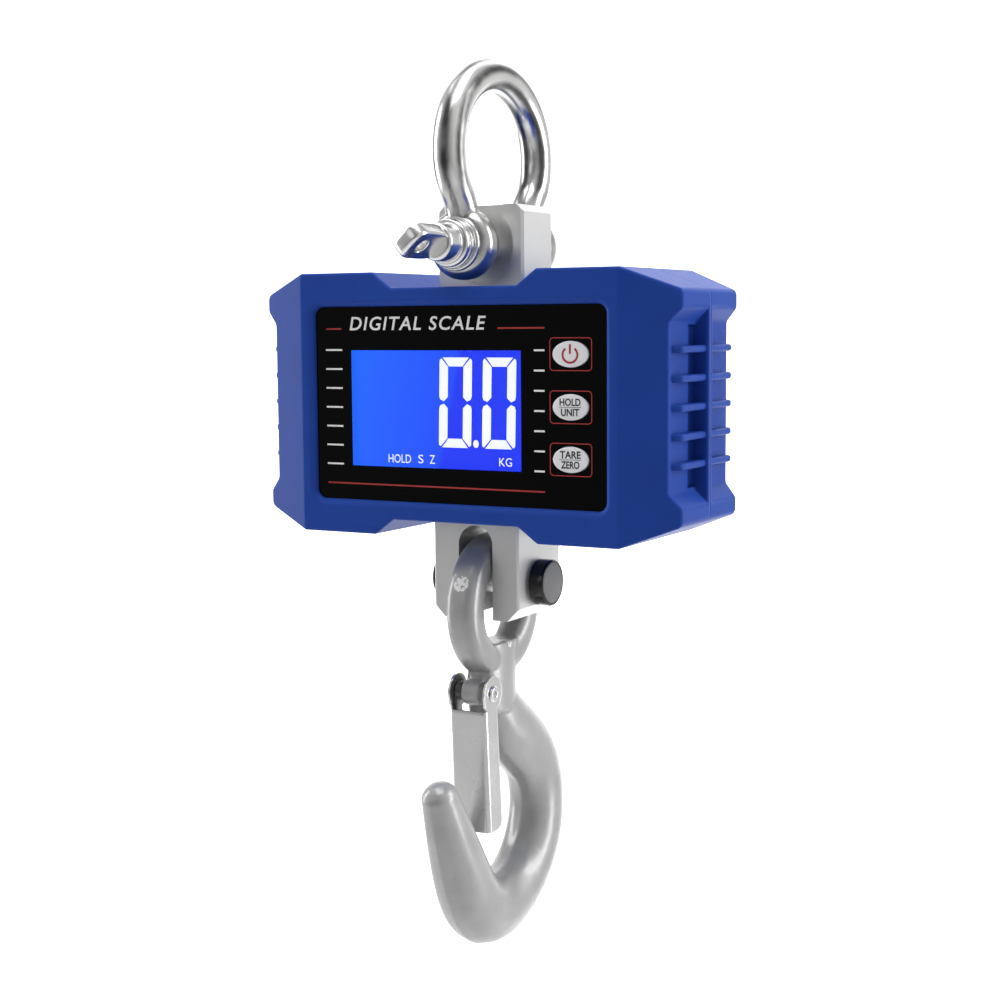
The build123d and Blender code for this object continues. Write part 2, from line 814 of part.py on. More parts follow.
def hook_pin():
    pin = rod_x(hook_pin_radius, -21.0, 21.0, 0, hook_pin_z)
    for side in (-1, 1):
        ring = rod_x(hook_pin_radius + 1, *sorted((side * 18.4, side * 19.4)), 0, hook_pin_z)
        ring -= rod_x(hook_pin_radius - 0.6, -30, 30, 0, hook_pin_z)
        pin -= ring
    return pin


def pin_clips():
    clips = []
    for side in (-1, 1):
        clip = rod_x(6.6, *sorted((side * 18.4, side * 19.4)), 0, hook_pin_z)
        clip -= rod_x(hook_pin_radius - 0.6, -30, 30, 0, hook_pin_z)
        clip -= block((-30, 30), (-2.2, 2.2), (hook_pin_z - 10, hook_pin_z))
        clips.append(clip)
    return clips


def pin_caps():
    caps = []
    for side in (-1, 1):
        x = sorted((side * cell_half_width, side * (cell_half_width + 5.6)))
        cap = rod_x(8.3, *x, 0, hook_pin_z)
        outer = [e for e in cap.edges() if abs(e.center().X) > cell_half_width + 5]
        cap = fillet(outer, 0.9)
        cap -= rod_x(6.8, *sorted((side * 10, side * 19.6)), 0, hook_pin_z)
        cap -= rod_x(hook_pin_radius, *sorted((side * 10, side * 21.0)), 0, hook_pin_z)
        cap -= rod_x(7.3, *sorted((side * (cell_half_width + 5.3), side * 30)), 0, hook_pin_z)
        caps.append(cap)
    return caps


def cap_discs():
    x = cell_half_width
    return [rod_x(7.3, *sorted((s * (x + 5.3), s * (x + 5.6))), 0, hook_pin_z) for s in (-1, 1)]


def write(name, shape):
    solids = []
    for item in shape if isinstance(shape, list) else [shape]:
        solids.extend(item.solids())
    placed = [Pos(0, 0, -inner_top_z) * s for s in solids]
    export_step(placed[0] if len(placed) == 1 else Compound(children=placed), f"parts/{name}.step")


def main():
    os.makedirs("parts", exist_ok=True)
    shell = whole_shell()
    at_pin = Pos(0, 0, hook_pin_z)
    pieces = {
        "shackle_bow": shackle_bow(),
        "shackle_pin": shackle_pin(),
        "load_cell": load_cell(),
        "front_shell": front_shell(shell),
        "rear_shell": rear_shell(shell),
        "shell_gasket": parting_gasket_loop(),
        "top_seal": top_seal(),
        "bottom_seal": bottom_seal(),
        "shell_screws": shell_screws(),
        "panel_overlay": panel_overlay(),
        "lcd_window": lcd_window(),
        "lcd_glass": lcd_glass(),
        "lcd_backlight": lcd_backlight(),
        "display_board": display_board(),
        "board_screws": board_screws(),
        "tact_switches": tact_switches(),
        "strain_gauges": strain_gauges(),
        "gauge_covers": gauge_covers(),
        "gauge_cable": gauge_cable(),
        "cell_brackets": cell_brackets(),
        "bracket_screws": bracket_screws(),
        "battery_tray": battery_tray(),
        "battery_cells": battery_cells(),
        "battery_contacts": battery_contacts(),
        "battery_lead": battery_lead(),
        "battery_cover": battery_cover(),
        "cover_gasket": cover_gasket(),
        "cover_screws": cover_screws(),
        "hook_pin": hook_pin(),
        "pin_clips": pin_clips(),
        "pin_caps": pin_caps(),
        "cap_discs": cap_discs(),
        "hook": at_pin * hook(),
        "latch": at_pin * latch(),
        "latch_rivet": at_pin * latch_rivet(),
        "latch_spring": [at_pin * s for s in latch_spring()],
    }
    for name, z in key_z.items():
        pieces[name] = key_piece(z)
    for name, shape in pieces.items():
        write(name, shape)


main()
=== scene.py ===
import json
import math

import bmesh
import bpy
import numpy as np
from mathutils import Matrix, Vector

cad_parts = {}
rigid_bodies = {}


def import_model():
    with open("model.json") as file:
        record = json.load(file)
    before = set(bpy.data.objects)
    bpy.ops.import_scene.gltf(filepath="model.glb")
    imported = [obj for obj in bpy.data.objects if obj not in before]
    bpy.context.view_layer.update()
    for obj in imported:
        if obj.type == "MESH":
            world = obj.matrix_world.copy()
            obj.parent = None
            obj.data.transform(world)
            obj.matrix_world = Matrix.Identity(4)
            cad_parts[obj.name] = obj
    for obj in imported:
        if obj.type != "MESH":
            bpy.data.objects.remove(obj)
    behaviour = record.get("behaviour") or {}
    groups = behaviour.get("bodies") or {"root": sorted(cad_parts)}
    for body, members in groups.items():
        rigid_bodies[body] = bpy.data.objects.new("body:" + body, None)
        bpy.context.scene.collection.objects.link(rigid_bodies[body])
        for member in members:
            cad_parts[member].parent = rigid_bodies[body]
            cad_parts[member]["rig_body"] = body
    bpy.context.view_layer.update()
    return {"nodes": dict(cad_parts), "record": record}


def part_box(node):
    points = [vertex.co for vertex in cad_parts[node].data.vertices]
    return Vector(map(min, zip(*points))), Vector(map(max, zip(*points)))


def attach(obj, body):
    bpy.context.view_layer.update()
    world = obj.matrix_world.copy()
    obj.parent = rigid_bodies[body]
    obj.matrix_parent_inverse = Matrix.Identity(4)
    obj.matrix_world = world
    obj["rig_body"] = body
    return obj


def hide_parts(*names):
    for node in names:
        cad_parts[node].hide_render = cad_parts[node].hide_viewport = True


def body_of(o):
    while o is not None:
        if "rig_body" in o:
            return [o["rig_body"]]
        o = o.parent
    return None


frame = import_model()
cadNodes = frame["nodes"]
slotOf = {s["node"]: s["material_slot"] for s in frame["record"]["subparts"]}
print("frame loaded:", len(cadNodes), "nodes")

mm = 0.001
weldStep = 2e-7  # metres: corners on the same step of this size are one


def middle(node):
    # the middle of a node's box
    low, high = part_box(node)
    return np.array((low + high) / 2)


shellMiddle = middle("front_shell") * (0, 0, 1)
shacklePinAt = middle("shackle_pin") * (0, 0, 1)
hookPinAt = middle("hook_pin") * (0, 0, 1)
latchPivotAt = middle("latch_rivet") * (0, 1, 1)


def gridFaces(rows, columns, closeRows=False, closeColumns=False):
    # four neighbours on the grid make a face; a closed direction wraps round
    i = np.arange(rows if closeRows else rows - 1)
    j = np.arange(columns if closeColumns else columns - 1)
    a, b = np.meshgrid(i, j, indexing="ij")
    c, d = (a + 1) % rows, (b + 1) % columns
    corners = (a * columns + b, c * columns + b, c * columns + d, a * columns + d)
    return np.stack(corners, -1).reshape(-1, 4)


def inScene(name, data):
    made = bpy.data.objects.new(name, data)
    bpy.context.scene.collection.objects.link(made)
    return made


def readOut(items, key, width, kind=float):
    # one property of every item, as the rows of an array
    out = np.zeros(len(items) * width, kind)
    items.foreach_get(key, out)
    return out.reshape(-1, width)


def headings(path):
    # unit directions along a line of points
    way = np.gradient(path, axis=0)
    return way / np.linalg.norm(way, axis=1)[:, None]


def gridPart(points, closeRows=False, closeColumns=False):
    # the grid's points as one list, with its faces
    rows, columns = points.shape[:2]
    return points.reshape(-1, 3), gridFaces(rows, columns, closeRows, closeColumns)


def joinParts(parts):
    # the points and faces of several parts as one
    points, faces, start = [], [], 0
    for p, f in parts:
        points.append(p)
        faces += (f + start).tolist()
        start += len(p)
    return np.concatenate(points), faces


def alongPath(path, across, up, profile, capped=True):
    # point = path + profile x * across + profile y * up; the ends close on their own middle
    points = path[:, None] + profile[..., :1] * across[:, None] + profile[..., 1:] * up[:, None]
    if capped:
        first = np.repeat(points[:1].mean(1, keepdims=True), points.shape[1], 1)
        last = np.repeat(points[-1:].mean(1, keepdims=True), points.shape[1], 1)
        points = np.concatenate([first, points, last])
    return gridPart(points, closeColumns=True)


def turned(profile, axis, count=96, closed=False):
    # profile rows are (place along the axis, radius), turned once round the axis
    profile = np.array(profile, float)
    angle = np.linspace(0, 2 * math.pi, count, endpoint=False)
    along = np.broadcast_to(profile[None, :, 0], (count, len(profile)))
    first = profile[None, :, 1] * np.cos(angle)[:, None]
    second = profile[None, :, 1] * np.sin(angle)[:, None]
    order = {"x": (along, first, second), "y": (first, along, second)}[axis]
    return gridPart(np.stack(order, -1), closeRows=True, closeColumns=closed)


def roundedLine(corners, radii, steps=6, closed=False):
    # each corner gives way to a circular arc tangent to both its sides
    corners = np.array(corners, float)
    out = []
    for k, (point, radius) in enumerate(zip(corners, radii)):
        last = not closed and k in (0, len(corners) - 1)
        if radius <= 0 or last:
            out.append(point[None])
            continue
        a = corners[k - 1] - point
        b = corners[(k + 1) % len(corners)] - point
        a, b = a / np.linalg.norm(a), b / np.linalg.norm(b)
        half = math.acos(max(-1, min(1, float(a @ b)))) / 2
        centre = point + (a + b) / np.linalg.norm(a + b) * radius / math.sin(half)
        start = point + a * radius / math.tan(half) - centre
        end = point + b * radius / math.tan(half) - centre
        sweep = math.pi - 2 * half
        t = np.linspace(0, 1, steps)[:, None]
        arc = (np.sin((1 - t) * sweep) * start + np.sin(t * sweep) * end) / math.sin(sweep)
        out.append(centre + arc)
    return np.concatenate(out)


def superEllipse(a, b, power, count=64):
    # |x/a|^power + |y/b|^power = 1, so power 2 is an ellipse and more is squarer
    angle = np.linspace(0, 2 * math.pi, count, endpoint=False)
    c, s = np.cos(angle), np.sin(angle)
    bend = 2 / power
    return np.stack([a * np.sign(c) * abs(c) ** bend, b * np.sign(s) * abs(s) ** bend], -1)


def smoothLine(knots, count):
    # a natural cubic spline through the knots, spaced by the distance in their first two columns
    knots = np.array(knots, float)
    at = np.concatenate([[0], np.cumsum(np.linalg.norm(np.diff(knots[:, :2], axis=0), axis=1))])
    h, n = np.diff(at), len(knots)
    system, right = np.eye(n), np.zeros_like(knots)
    for i in range(1, n - 1):
        system[i, i - 1:i + 2] = h[i - 1], 2 * (h[i - 1] + h[i]), h[i]
        right[i] = 6 * ((knots[i + 1] - knots[i]) / h[i] - (knots[i] - knots[i - 1]) / h[i - 1])
    bend = np.linalg.solve(system, right)
    s = np.linspace(0, at[-1], count)
    k = np.clip(np.searchsorted(at, s, "right") - 1, 0, n - 2)
    a = ((at[k + 1] - s) / h[k])[:, None]
    b = 1 - a
    cubic = ((a**3 - a) * bend[k] + (b**3 - b) * bend[k + 1]) * (h[k] ** 2)[:, None] / 6
    return a * knots[k] + b * knots[k + 1] + cubic


def inPlane(yz):
    # path points, across (X) and the in-plane normal of a line in Y and Z
    path = np.column_stack([np.zeros(len(yz)), yz])
    way = headings(path)
    up = np.column_stack([np.zeros(len(yz)), -way[:, 2], way[:, 1]])
    across = np.broadcast_to([1.0, 0.0, 0.0], path.shape)
    return path, across, up


def meshFrom(name, points, faces):
    mesh = bpy.data.meshes.new(name)
    mesh.from_pydata(np.asarray(points, float).tolist(), [], faces)
    mesh.validate()
    return mesh


def closedUp(mesh):
    # doubles merged, faces turned outwards
    work = bmesh.new()
    work.from_mesh(mesh)
    bmesh.ops.remove_doubles(work, verts=work.verts, dist=1e-7)
    bmesh.ops.dissolve_degenerate(work, edges=work.edges, dist=1e-8)
    bmesh.ops.recalc_face_normals(work, faces=work.faces)
    work.to_mesh(mesh)
    work.free()


def piece(name, mesh, body, material, replaces=(), sharp=35):
    # an object that rides on a body, with its slot and the nodes it stands for
    mesh.materials.clear()
    mesh.materials.append(material)
    mesh.shade_smooth()
    if sharp:
        mesh.set_sharp_from_angle(angle=math.radians(sharp))
    made = inScene(name, mesh)
    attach(made, body)
    if replaces:
        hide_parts(*replaces)
    return made


def builtPiece(name, parts, origin, body, material, replaces=(), sharp=35):
    # parts in millimetres about origin become one closed piece in the row frame
    points, faces = joinParts(parts)
    mesh = meshFrom(name, points * mm + origin, faces)
    closedUp(mesh)
    return piece(name, mesh, body, material, replaces, sharp)


def weightNormals(made):
    made.modifiers.new("flatFaces", "WEIGHTED_NORMAL").keep_sharp = True


def weldedCopy(node, name, material, sharp=30):
    # the node's triangles with their shared corners merged, so that its round edges shade smoothly
    source = cadNodes[node].data
    source.calc_loop_triangles()
    points = readOut(source.vertices, "co", 3, np.float32)
    corners = readOut(source.loop_triangles, "vertices", 3, np.int32)
    _, first, again = np.unique(np.round(points / weldStep).astype(np.int64), axis=0, return_index=True,
                                return_inverse=True)
    faces = again.ravel()[corners]
    apart = (faces[:, 0] != faces[:, 1]) & (faces[:, 1] != faces[:, 2]) & (faces[:, 0] != faces[:, 2])
    mesh = meshFrom(name, points[first], faces[apart].tolist())
    body = body_of(cadNodes[node])[0]
    made = piece(name, mesh, body, material, [node], sharp)
    weightNormals(made)
    return made


def oneSkin(parts, origin, voxel, rounds):
    # overlapping parts fused by a voxel remesh, then relaxed so that their joins flow like a forging
    points, faces = joinParts(parts)
    mesh = meshFrom("skin", points * mm + origin, faces)
    closedUp(mesh)
    rough = inScene("skin", mesh)
    remesh = rough.modifiers.new("fuse", "REMESH")
    remesh.mode, remesh.voxel_size = "VOXEL", voxel * mm
    done = bpy.data.meshes.new_from_object(rough.evaluated_get(bpy.context.evaluated_depsgraph_get()))
    bpy.data.objects.remove(rough)
    edges = readOut(done.edges, "vertices", 2, np.int32)
    return done, relaxed(readOut(done.vertices, "co", 3), edges, rounds)


def relaxed(place, edges, rounds):
    # towards the mean of the neighbours and back by a little more, which keeps the volume
    count = len(place)
    ends = np.concatenate([edges, edges[:, ::-1]])
    friends = np.bincount(ends[:, 0], minlength=count)[:, None]
    for step in range(rounds):
        for pull in (0.5, -0.53):
            total = [np.bincount(ends[:, 0], place[ends[:, 1], k], count) for k in range(3)]
            place = place + pull * (np.stack(total, 1) / friends - place)
    return place


def setPlaces(mesh, place):
    mesh.vertices.foreach_set("co", place.astype(np.float32).ravel())
    mesh.update()


def newMaterial(name):
    made = bpy.data.materials.new(name)
    made.use_nodes = True
    return made, made.node_tree, made.node_tree.nodes["Principled BSDF"]


def noiseNode(tree, scale, detail=3.0, stretch=None):
    place = tree.nodes.new("ShaderNodeTexCoord")
    noise = tree.nodes.new("ShaderNodeTexNoise")
    noise.inputs["Scale"].default_value = scale
    noise.inputs["Detail"].default_value = detail
    if stretch:
        mapping = tree.nodes.new("ShaderNodeMapping")
        mapping.inputs["Scale"].default_value = stretch
        tree.links.new(place.outputs["Object"], mapping.inputs["Vector"])
        tree.links.new(mapping.outputs["Vector"], noise.inputs["Vector"])
    else:
        tree.links.new(place.outputs["Object"], noise.inputs["Vector"])
    return noise


def spread(tree, source, low, high, start=0.3, end=0.7):
    # start..end of the source becomes low..high
    ranged = tree.nodes.new("ShaderNodeMapRange")
    ranged.inputs["From Min"].default_value = start
    ranged.inputs["From Max"].default_value = end
    ranged.inputs["To Min"].default_value = low
    ranged.inputs["To Max"].default_value = high
    tree.links.new(source, ranged.inputs["Value"])
    return ranged.outputs["Result"]


def calculated(tree, operation, *values):
    # each value is an output to link or a plain number
    node = tree.nodes.new("ShaderNodeMath")
    node.operation = operation
    for socket, value in zip(node.inputs, values):
        if isinstance(value, float):
            socket.default_value = value
        else:
            tree.links.new(value, socket)
    return node.outputs["Value"]


def mixed(tree, factor, first, second):
    mix = tree.nodes.new("ShaderNodeMix")
    mix.data_type = "RGBA"
    tree.links.new(factor, mix.inputs["Factor"])
    for socket, value in ((mix.inputs["A"], first), (mix.inputs["B"], second)):
        if isinstance(value, tuple):
            socket.default_value = (*value, 1)
        else:
            tree.links.new(value, socket)
    return mix.outputs["Result"]


def shaded(colour, share):
    return tuple(min(1.0, c * share) for c in colour)


def bumped(tree, shader, layers, normal=None):
    # layers of (height output, depth in metres), each bump feeding the next
    for height, depth in layers:
        bump = tree.nodes.new("ShaderNodeBump")
        bump.inputs["Distance"].default_value = depth
        tree.links.new(height, bump.inputs["Height"])
        if normal:
            tree.links.new(normal, bump.inputs["Normal"])
        normal = bump.outputs["Normal"]
    tree.links.new(normal, shader.inputs["Normal"])


def stuff(name, colour, rough, metal=0.0, grain=(2500, 0.00001), mottle=(60, 0.06), coat=None,
          stretch=None, specular=None, edge=None):
    # colour wanders by the mottle share, roughness by a sixth, and a fine grain gives the bump
    made, tree, shader = newMaterial(name)
    wide = noiseNode(tree, mottle[0]).outputs["Fac"]
    fine = noiseNode(tree, grain[0], 4.0, stretch).outputs["Fac"]
    factor = spread(tree, wide, 0, 1)
    low, high = shaded(colour, 1 - mottle[1]), shaded(colour, 1 + mottle[1])
    tree.links.new(mixed(tree, factor, low, high), shader.inputs["Base Color"])
    tree.links.new(spread(tree, fine, rough * 0.86, rough * 1.16), shader.inputs["Roughness"])
    shader.inputs["Metallic"].default_value = metal
    if coat:
        shader.inputs["Coat Weight"].default_value = coat[0]
        shader.inputs["Coat Roughness"].default_value = coat[1]
    if specular is not None:
        shader.inputs["Specular IOR Level"].default_value = specular
    rounded = None
    if edge:
        soft = tree.nodes.new("ShaderNodeBevel")
        soft.samples = 6
        soft.inputs["Radius"].default_value = edge
        rounded = soft.outputs["Normal"]
    if grain[1]:
        bumped(tree, shader, [(fine, grain[1])], rounded)
    return made


blue = (0.018, 0.060, 0.33)
mats = {
    "shell_blue": stuff("satinBlue", blue, 0.38, grain=(2600, 0.000006), mottle=(45, 0.05), specular=0.07,
                        edge=0.0012),
    "panel_black": stuff("glossFilm", (0.0008, 0.0008, 0.001), 0.12, grain=(900, 0.000002),
                         mottle=(30, 0.2), specular=0.1),
    "lcd_cell": stuff("displayEdge", (0.02, 0.03, 0.05), 0.2),
    "backlight_blue": stuff("lightGuide", (0.3, 0.45, 0.9), 0.3),
    "board_green": stuff("solderMask", (0.03, 0.2, 0.08), 0.35, mottle=(400, 0.25)),
    "switch_black": stuff("nylonBlack", (0.02, 0.02, 0.02), 0.5),
    "gauge_foil": stuff("gaugeFoil", (0.6, 0.36, 0.12), 0.3, 0.8, mottle=(900, 0.3)),
    "cover_steel": stuff("plainSteel", (0.5, 0.5, 0.5), 0.35, 1.0, stretch=(1, 1, 0.05)),
    "cell_steel": stuff("satinNickel", (0.70, 0.70, 0.69), 0.36, 0.85, grain=(1800, 0.000008),
                        mottle=(25, 0.04)),
    "shackle_steel": stuff("polishedSteel", (0.72, 0.72, 0.715), 0.22, 1.0, grain=(220, 0.000004),
                           mottle=(30, 0.03)),
    "pin_steel": stuff("groundSteel", (0.45, 0.45, 0.45), 0.3, 1.0),
    "latch_steel": stuff("platedSheet", (0.72, 0.72, 0.715), 0.26, 1.0, grain=(45, 0),
                         mottle=(40, 0.03)),
    "spring_steel": stuff("oiledWire", (0.12, 0.12, 0.12), 0.3, 1.0, mottle=(500, 0.3)),
    "screw_steel": stuff("platedScrew", (0.5, 0.5, 0.5), 0.3, 1.0, mottle=(500, 0.15)),
    "cap_black": stuff("glossBlack", (0.004, 0.004, 0.004), 0.16, grain=(1200, 0.000004), mottle=(90, 0.2)),
    "disc_grey": stuff("flatGrey", (0.15, 0.15, 0.15), 0.55, grain=(2200, 0.00001), mottle=(200, 0.08)),
    "key_grey": stuff("keyRubber", (0.80, 0.80, 0.83), 0.5, grain=(3000, 0.000012), mottle=(150, 0.03)),
    "rubber_black": stuff("sealRubber", (0.012, 0.012, 0.012), 0.7, grain=(1500, 0.00002),
                          mottle=(200, 0.2)),
    "cable_grey": stuff("cableJacket", (0.08, 0.08, 0.08), 0.5),
    "battery_wrap": stuff("batterySleeve", (0.06, 0.07, 0.08), 0.3, mottle=(120, 0.2)),
    "contact_nickel": stuff("springStrip", (0.6, 0.57, 0.5), 0.3, 1.0),
}


def clearPlastic():
    # acrylic: light goes through, and a faint grain stands for fingerprints
    made, tree, shader = newMaterial("clearAcrylic")
    shader.inputs["Base Color"].default_value = (0.97, 0.98, 1, 1)
    shader.inputs["Transmission Weight"].default_value = 1
    shader.inputs["IOR"].default_value = 1.49
    smudge = noiseNode(tree, 90).outputs["Fac"]
    tree.links.new(spread(tree, smudge, 0.0, 0.03), shader.inputs["Roughness"])
    return made


hookPaintLook = {
    "colour": (0.35, 0.35, 0.35),
    "worn": (0.80, 0.80, 0.79),
    "spots": [((0.6, -28.8, 2.6), 4.6), ((3.5, -2.0, -23.2), 3.6)],  # from the hook's pin, and size
}


def hookPaint():
    # metallic silver paint: forging waves below it, orange peel in it, bare bright spots where it has worn
    look = hookPaintLook
    made, tree, shader = newMaterial("silverPaint")
    waves = noiseNode(tree, 85, 2.0).outputs["Fac"]
    peel = noiseNode(tree, 900, 2.0).outputs["Fac"]
    chips = noiseNode(tree, 700, 4.0).outputs["Fac"]
    factor = spread(tree, waves, 0, 1)
    colour = mixed(tree, factor, shaded(look["colour"], 0.93), shaded(look["colour"], 1.07))
    for centre, size in look["spots"]:
        place = tree.nodes.new("ShaderNodeTexCoord")
        apart = tree.nodes.new("ShaderNodeVectorMath")
        apart.operation = "DISTANCE"
        tree.links.new(place.outputs["Object"], apart.inputs[0])
        apart.inputs[1].default_value = tuple(np.array(centre) * mm + hookPinAt)
        near = spread(tree, apart.outputs["Value"], 1.0, 0.0, 0.2 * size * mm, size * mm)
        ragged = calculated(tree, "MULTIPLY", near, spread(tree, chips, 0.0, 2.0, 0.34, 0.52))
        colour = mixed(tree, spread(tree, ragged, 0, 1, 0.45, 0.55), colour, look["worn"])
    tree.links.new(colour, shader.inputs["Base Color"])
    tree.links.new(spread(tree, peel, 0.34, 0.46), shader.inputs["Roughness"])
    shader.inputs["Metallic"].default_value = 0.35
    shader.inputs["Coat Weight"].default_value = 0.4
    shader.inputs["Coat Roughness"].default_value = 0.16
    bumped(tree, shader, [(waves, 0.00045), (peel, 0.00001)])
    return made


displayLook = {
    # left is the backlight's glow with a painted sheen on it, right is the backlight alone
    "left": (0.0, 0.125, 1.0),
    "right": (0.0, 0.026, 0.88),
    "strength": 1.05,
    "edgeX": -3.4,     # the painted sheen's edge crosses the middle here, in millimetres
    "edgeLean": 0.22,
}


def displayBlue():
    # backlight glow with a painted sheen on it: brighter at the left of a soft slanted edge, deeper to the
    # right
    look = displayLook
    made, tree, shader = newMaterial("displayBlue")
    place = tree.nodes.new("ShaderNodeTexCoord")
    apart = tree.nodes.new("ShaderNodeSeparateXYZ")
    tree.links.new(place.outputs["Object"], apart.inputs["Vector"])
    lean = calculated(tree, "MULTIPLY_ADD", apart.outputs["Z"], -look["edgeLean"], apart.outputs["X"])
    middleAt = look["edgeX"] * mm - look["edgeLean"] * shellMiddle[2]
    # painted sheen: the glow turns from the left colour to the right one across a soft slanted line
    wide = spread(tree, lean, 0, 0.62, middleAt - 0.045, middleAt - 0.001)
    edge = spread(tree, lean, 0, 0.38, middleAt - 0.0012, middleAt + 0.0012)
    grain = noiseNode(tree, 700, 2.0, (1, 1, 0.02)).outputs["Fac"]
    fine = calculated(tree, "ADD", calculated(tree, "ADD", wide, edge), spread(tree, grain, -0.03, 0.03))
    colour = mixed(tree, fine, look["left"], look["right"])
    tree.links.new(colour, shader.inputs["Emission Color"])
    shader.inputs["Emission Strength"].default_value = look["strength"]
    shader.inputs["Base Color"].default_value = (0.0, 0.0, 0.01, 1)
    shader.inputs["Roughness"].default_value = 0.4
    return made


def glowing(name, colour, strength):
    # lit segments: an even glow with a faint grain in it
    made, tree, shader = newMaterial(name)
    grain = noiseNode(tree, 1500, 2.0).outputs["Fac"]
    factor = spread(tree, grain, 0, 1)
    tree.links.new(mixed(tree, factor, shaded(colour, 0.97), colour), shader.inputs["Emission Color"])
    shader.inputs["Emission Strength"].default_value = strength
    shader.inputs["Base Color"].default_value = (0.5, 0.5, 0.6, 1)
    return made


def streakedSteel():
    # polished steel with painted reflections: dark and light bands in its colour run along the bar, with a
    # little grain in them
    made, tree, shader = newMaterial("streakedSteel")
    layer = tree.nodes.new("ShaderNodeAttribute")
    layer.attribute_name = "streaks"
    grain = noiseNode(tree, 160, 2.0).outputs["Fac"]
    # painted reflection: dark and light steel colours are mixed by the bands
    both = calculated(tree, "ADD", layer.outputs["Fac"], spread(tree, grain, -0.10, 0.10))
    factor = spread(tree, both, 0, 1, 0.05, 0.85)
    tree.links.new(mixed(tree, factor, (0.10, 0.10, 0.10), (0.76, 0.76, 0.75)), shader.inputs["Base Color"])
    tree.links.new(spread(tree, grain, 0.22, 0.27), shader.inputs["Roughness"])
    shader.inputs["Metallic"].default_value = 1.0
    return made


mats["clear_lens"] = clearPlastic()
mats["hook_paint"] = hookPaint()
displayMat = displayBlue()
segmentMat = glowing("litSegment", (0.80, 0.83, 1.0), 1.0)
inks = {
    "white": stuff("inkWhite", (0.86, 0.86, 0.86), 0.5, grain=(2500, 0.000002), mottle=(500, 0.05)),
    "red": stuff("inkRed", (0.38, 0.022, 0.022), 0.5, grain=(2500, 0.000002), mottle=(500, 0.1)),
    "black": stuff("inkBlack", (0.01, 0.01, 0.01), 0.5, grain=(2500, 0.000002), mottle=(500, 0.1)),
}
for node, made in cadNodes.items():
    made.data.materials.clear()
    made.data.materials.append(mats[slotOf[node]])
print("materials made:", len(mats), "and", len(inks), "inks")

# the housing's CAD shells, with their rounded edges shaded as one skin
for node in ("front_shell", "rear_shell", "battery_cover", "load_cell", "panel_overlay", "shell_screws",
             "cover_screws", "top_seal", "bottom_seal", "hook_pin", "pin_clips", "shell_gasket"):
    name = "".join(w.capitalize() if k else w for k, w in enumerate(node.split("_")))
    weldedCopy(node, name, mats[slotOf[node]])
print("housing done")

# shackle, in millimetres from its pin
bowShape = {
    "wire": 5.7, "earY": 21.8, "halfWidth": 31.2, "widest": 31.2, "top": 59.3,
    "crown": 34.0, "lower": 22.0, "lean": 38.0,
    "earRadius": 12.3, "earHalf": 5.6, "earRound": 4.6, "boss": 9.4, "bossOut": 1.2, "hole": 6.06,
    "voxel": 0.46, "rounds": 45,
    # count and phase of the painted reflection bands round the bar
    "streaks": 6.0, "streakStart": 0.6,
}


def bowLine(count=500):
    # the heading turns evenly along each arc, and its sum gives the line in Y and Z from the pin
    b = bowShape
    rise = b["widest"] - (b["top"] - b["crown"])
    reach = b["crown"] - b["halfWidth"]
    side = (b["crown"] ** 2 - b["halfWidth"] ** 2 - rise**2) / (2 * reach)
    sideTurn = math.atan2(rise, b["halfWidth"] - side)
    lean = math.radians(b["lean"])
    inward = 1 - math.cos(lean)
    foot = (b["halfWidth"] - b["lower"] * inward - b["earY"]) / inward
    straight = b["widest"] - (b["lower"] + foot) * math.sin(lean)
    crownTurn = math.pi / 2 - sideTurn
    lengths = [straight, foot * lean, b["lower"] * lean, side * sideTurn, b["crown"] * crownTurn]
    turns = np.cumsum([0, 0, -lean, lean, sideTurn, crownTurn])
    at = np.concatenate([[0], np.cumsum(lengths)])
    s = np.linspace(0, at[-1], count)
    heading = math.pi / 2 + np.interp(s, at, turns)
    step = np.stack([np.cos(heading), np.sin(heading)], 1)
    run = np.concatenate([[[0, 0]], np.cumsum((step[1:] + step[:-1]) / 2, 0) * (s[1] - s[0])])
    half = run + (b["earY"], 0)
    other = half[-2::-1] * (-1, 1)
    return np.concatenate([half, other])


def earParts(side):
    # a disc with well-rounded rims, turned round the pin's axis
    b = bowShape
    half, radius = b["earHalf"], b["earRadius"]
    rim = [(-half, 0), (-half, radius), (half, radius), (half, 0)]
    disc = roundedLine(rim, [0, b["earRound"], b["earRound"], 0], 16)
    disc[:, 0] = (disc[:, 0] + b["earY"]) * side
    return turned(disc, "y")


def bossParts(side):
    # a low ring round the pin's hole, on the outer face of the ear
    b = bowShape
    face = b["earY"] + b["earHalf"] + b["bossOut"]
    ring = [(face - 3, b["hole"]), (face - 3, b["boss"]), (face, b["boss"]), (face, b["hole"])]
    ring = roundedLine(ring, [0, 0, 0.7, 0.4], 8, closed=True)
    ring[:, 0] *= side
    return turned(ring, "y", 128, closed=True)


def onTube(place, line, radius, low, high):
    # points above high sit exactly on the round bar; between low and high they ease towards it.
    # the second result is painted reflection bands: a wave of the angle round the bar, which the bar's
    # material turns into dark and light colour
    local = (place - shacklePinAt) / mm
    nearest = np.concatenate([
        ((part[:, None, 1:] - line[None]) ** 2).sum(2).argmin(1) for part in np.array_split(local, 24)
    ])
    way = headings(line)
    foot = line[nearest]
    foot = foot + way[nearest] * ((local[:, 1:] - foot) * way[nearest]).sum(1)[:, None]
    centre = np.column_stack([np.zeros(len(foot)), foot])
    out = local - centre
    exact = centre + out / np.linalg.norm(out, axis=1)[:, None] * radius
    share = np.clip((local[:, 2] - low) / (high - low), 0, 1)[:, None]
    share = share * share * (3 - 2 * share)
    inwards = (out[:, 1:] * np.stack([-way[nearest][:, 1], way[nearest][:, 0]], 1)).sum(1)
    angle = np.arctan2(inwards, out[:, 0])
    # painted reflection bands, fading in with the tube above the ears
    streaks = 0.5 + 0.5 * share[:, 0] * np.sin(bowShape["streaks"] * angle + bowShape["streakStart"])
    return (local * (1 - share) + exact * share) * mm + shacklePinAt, streaks


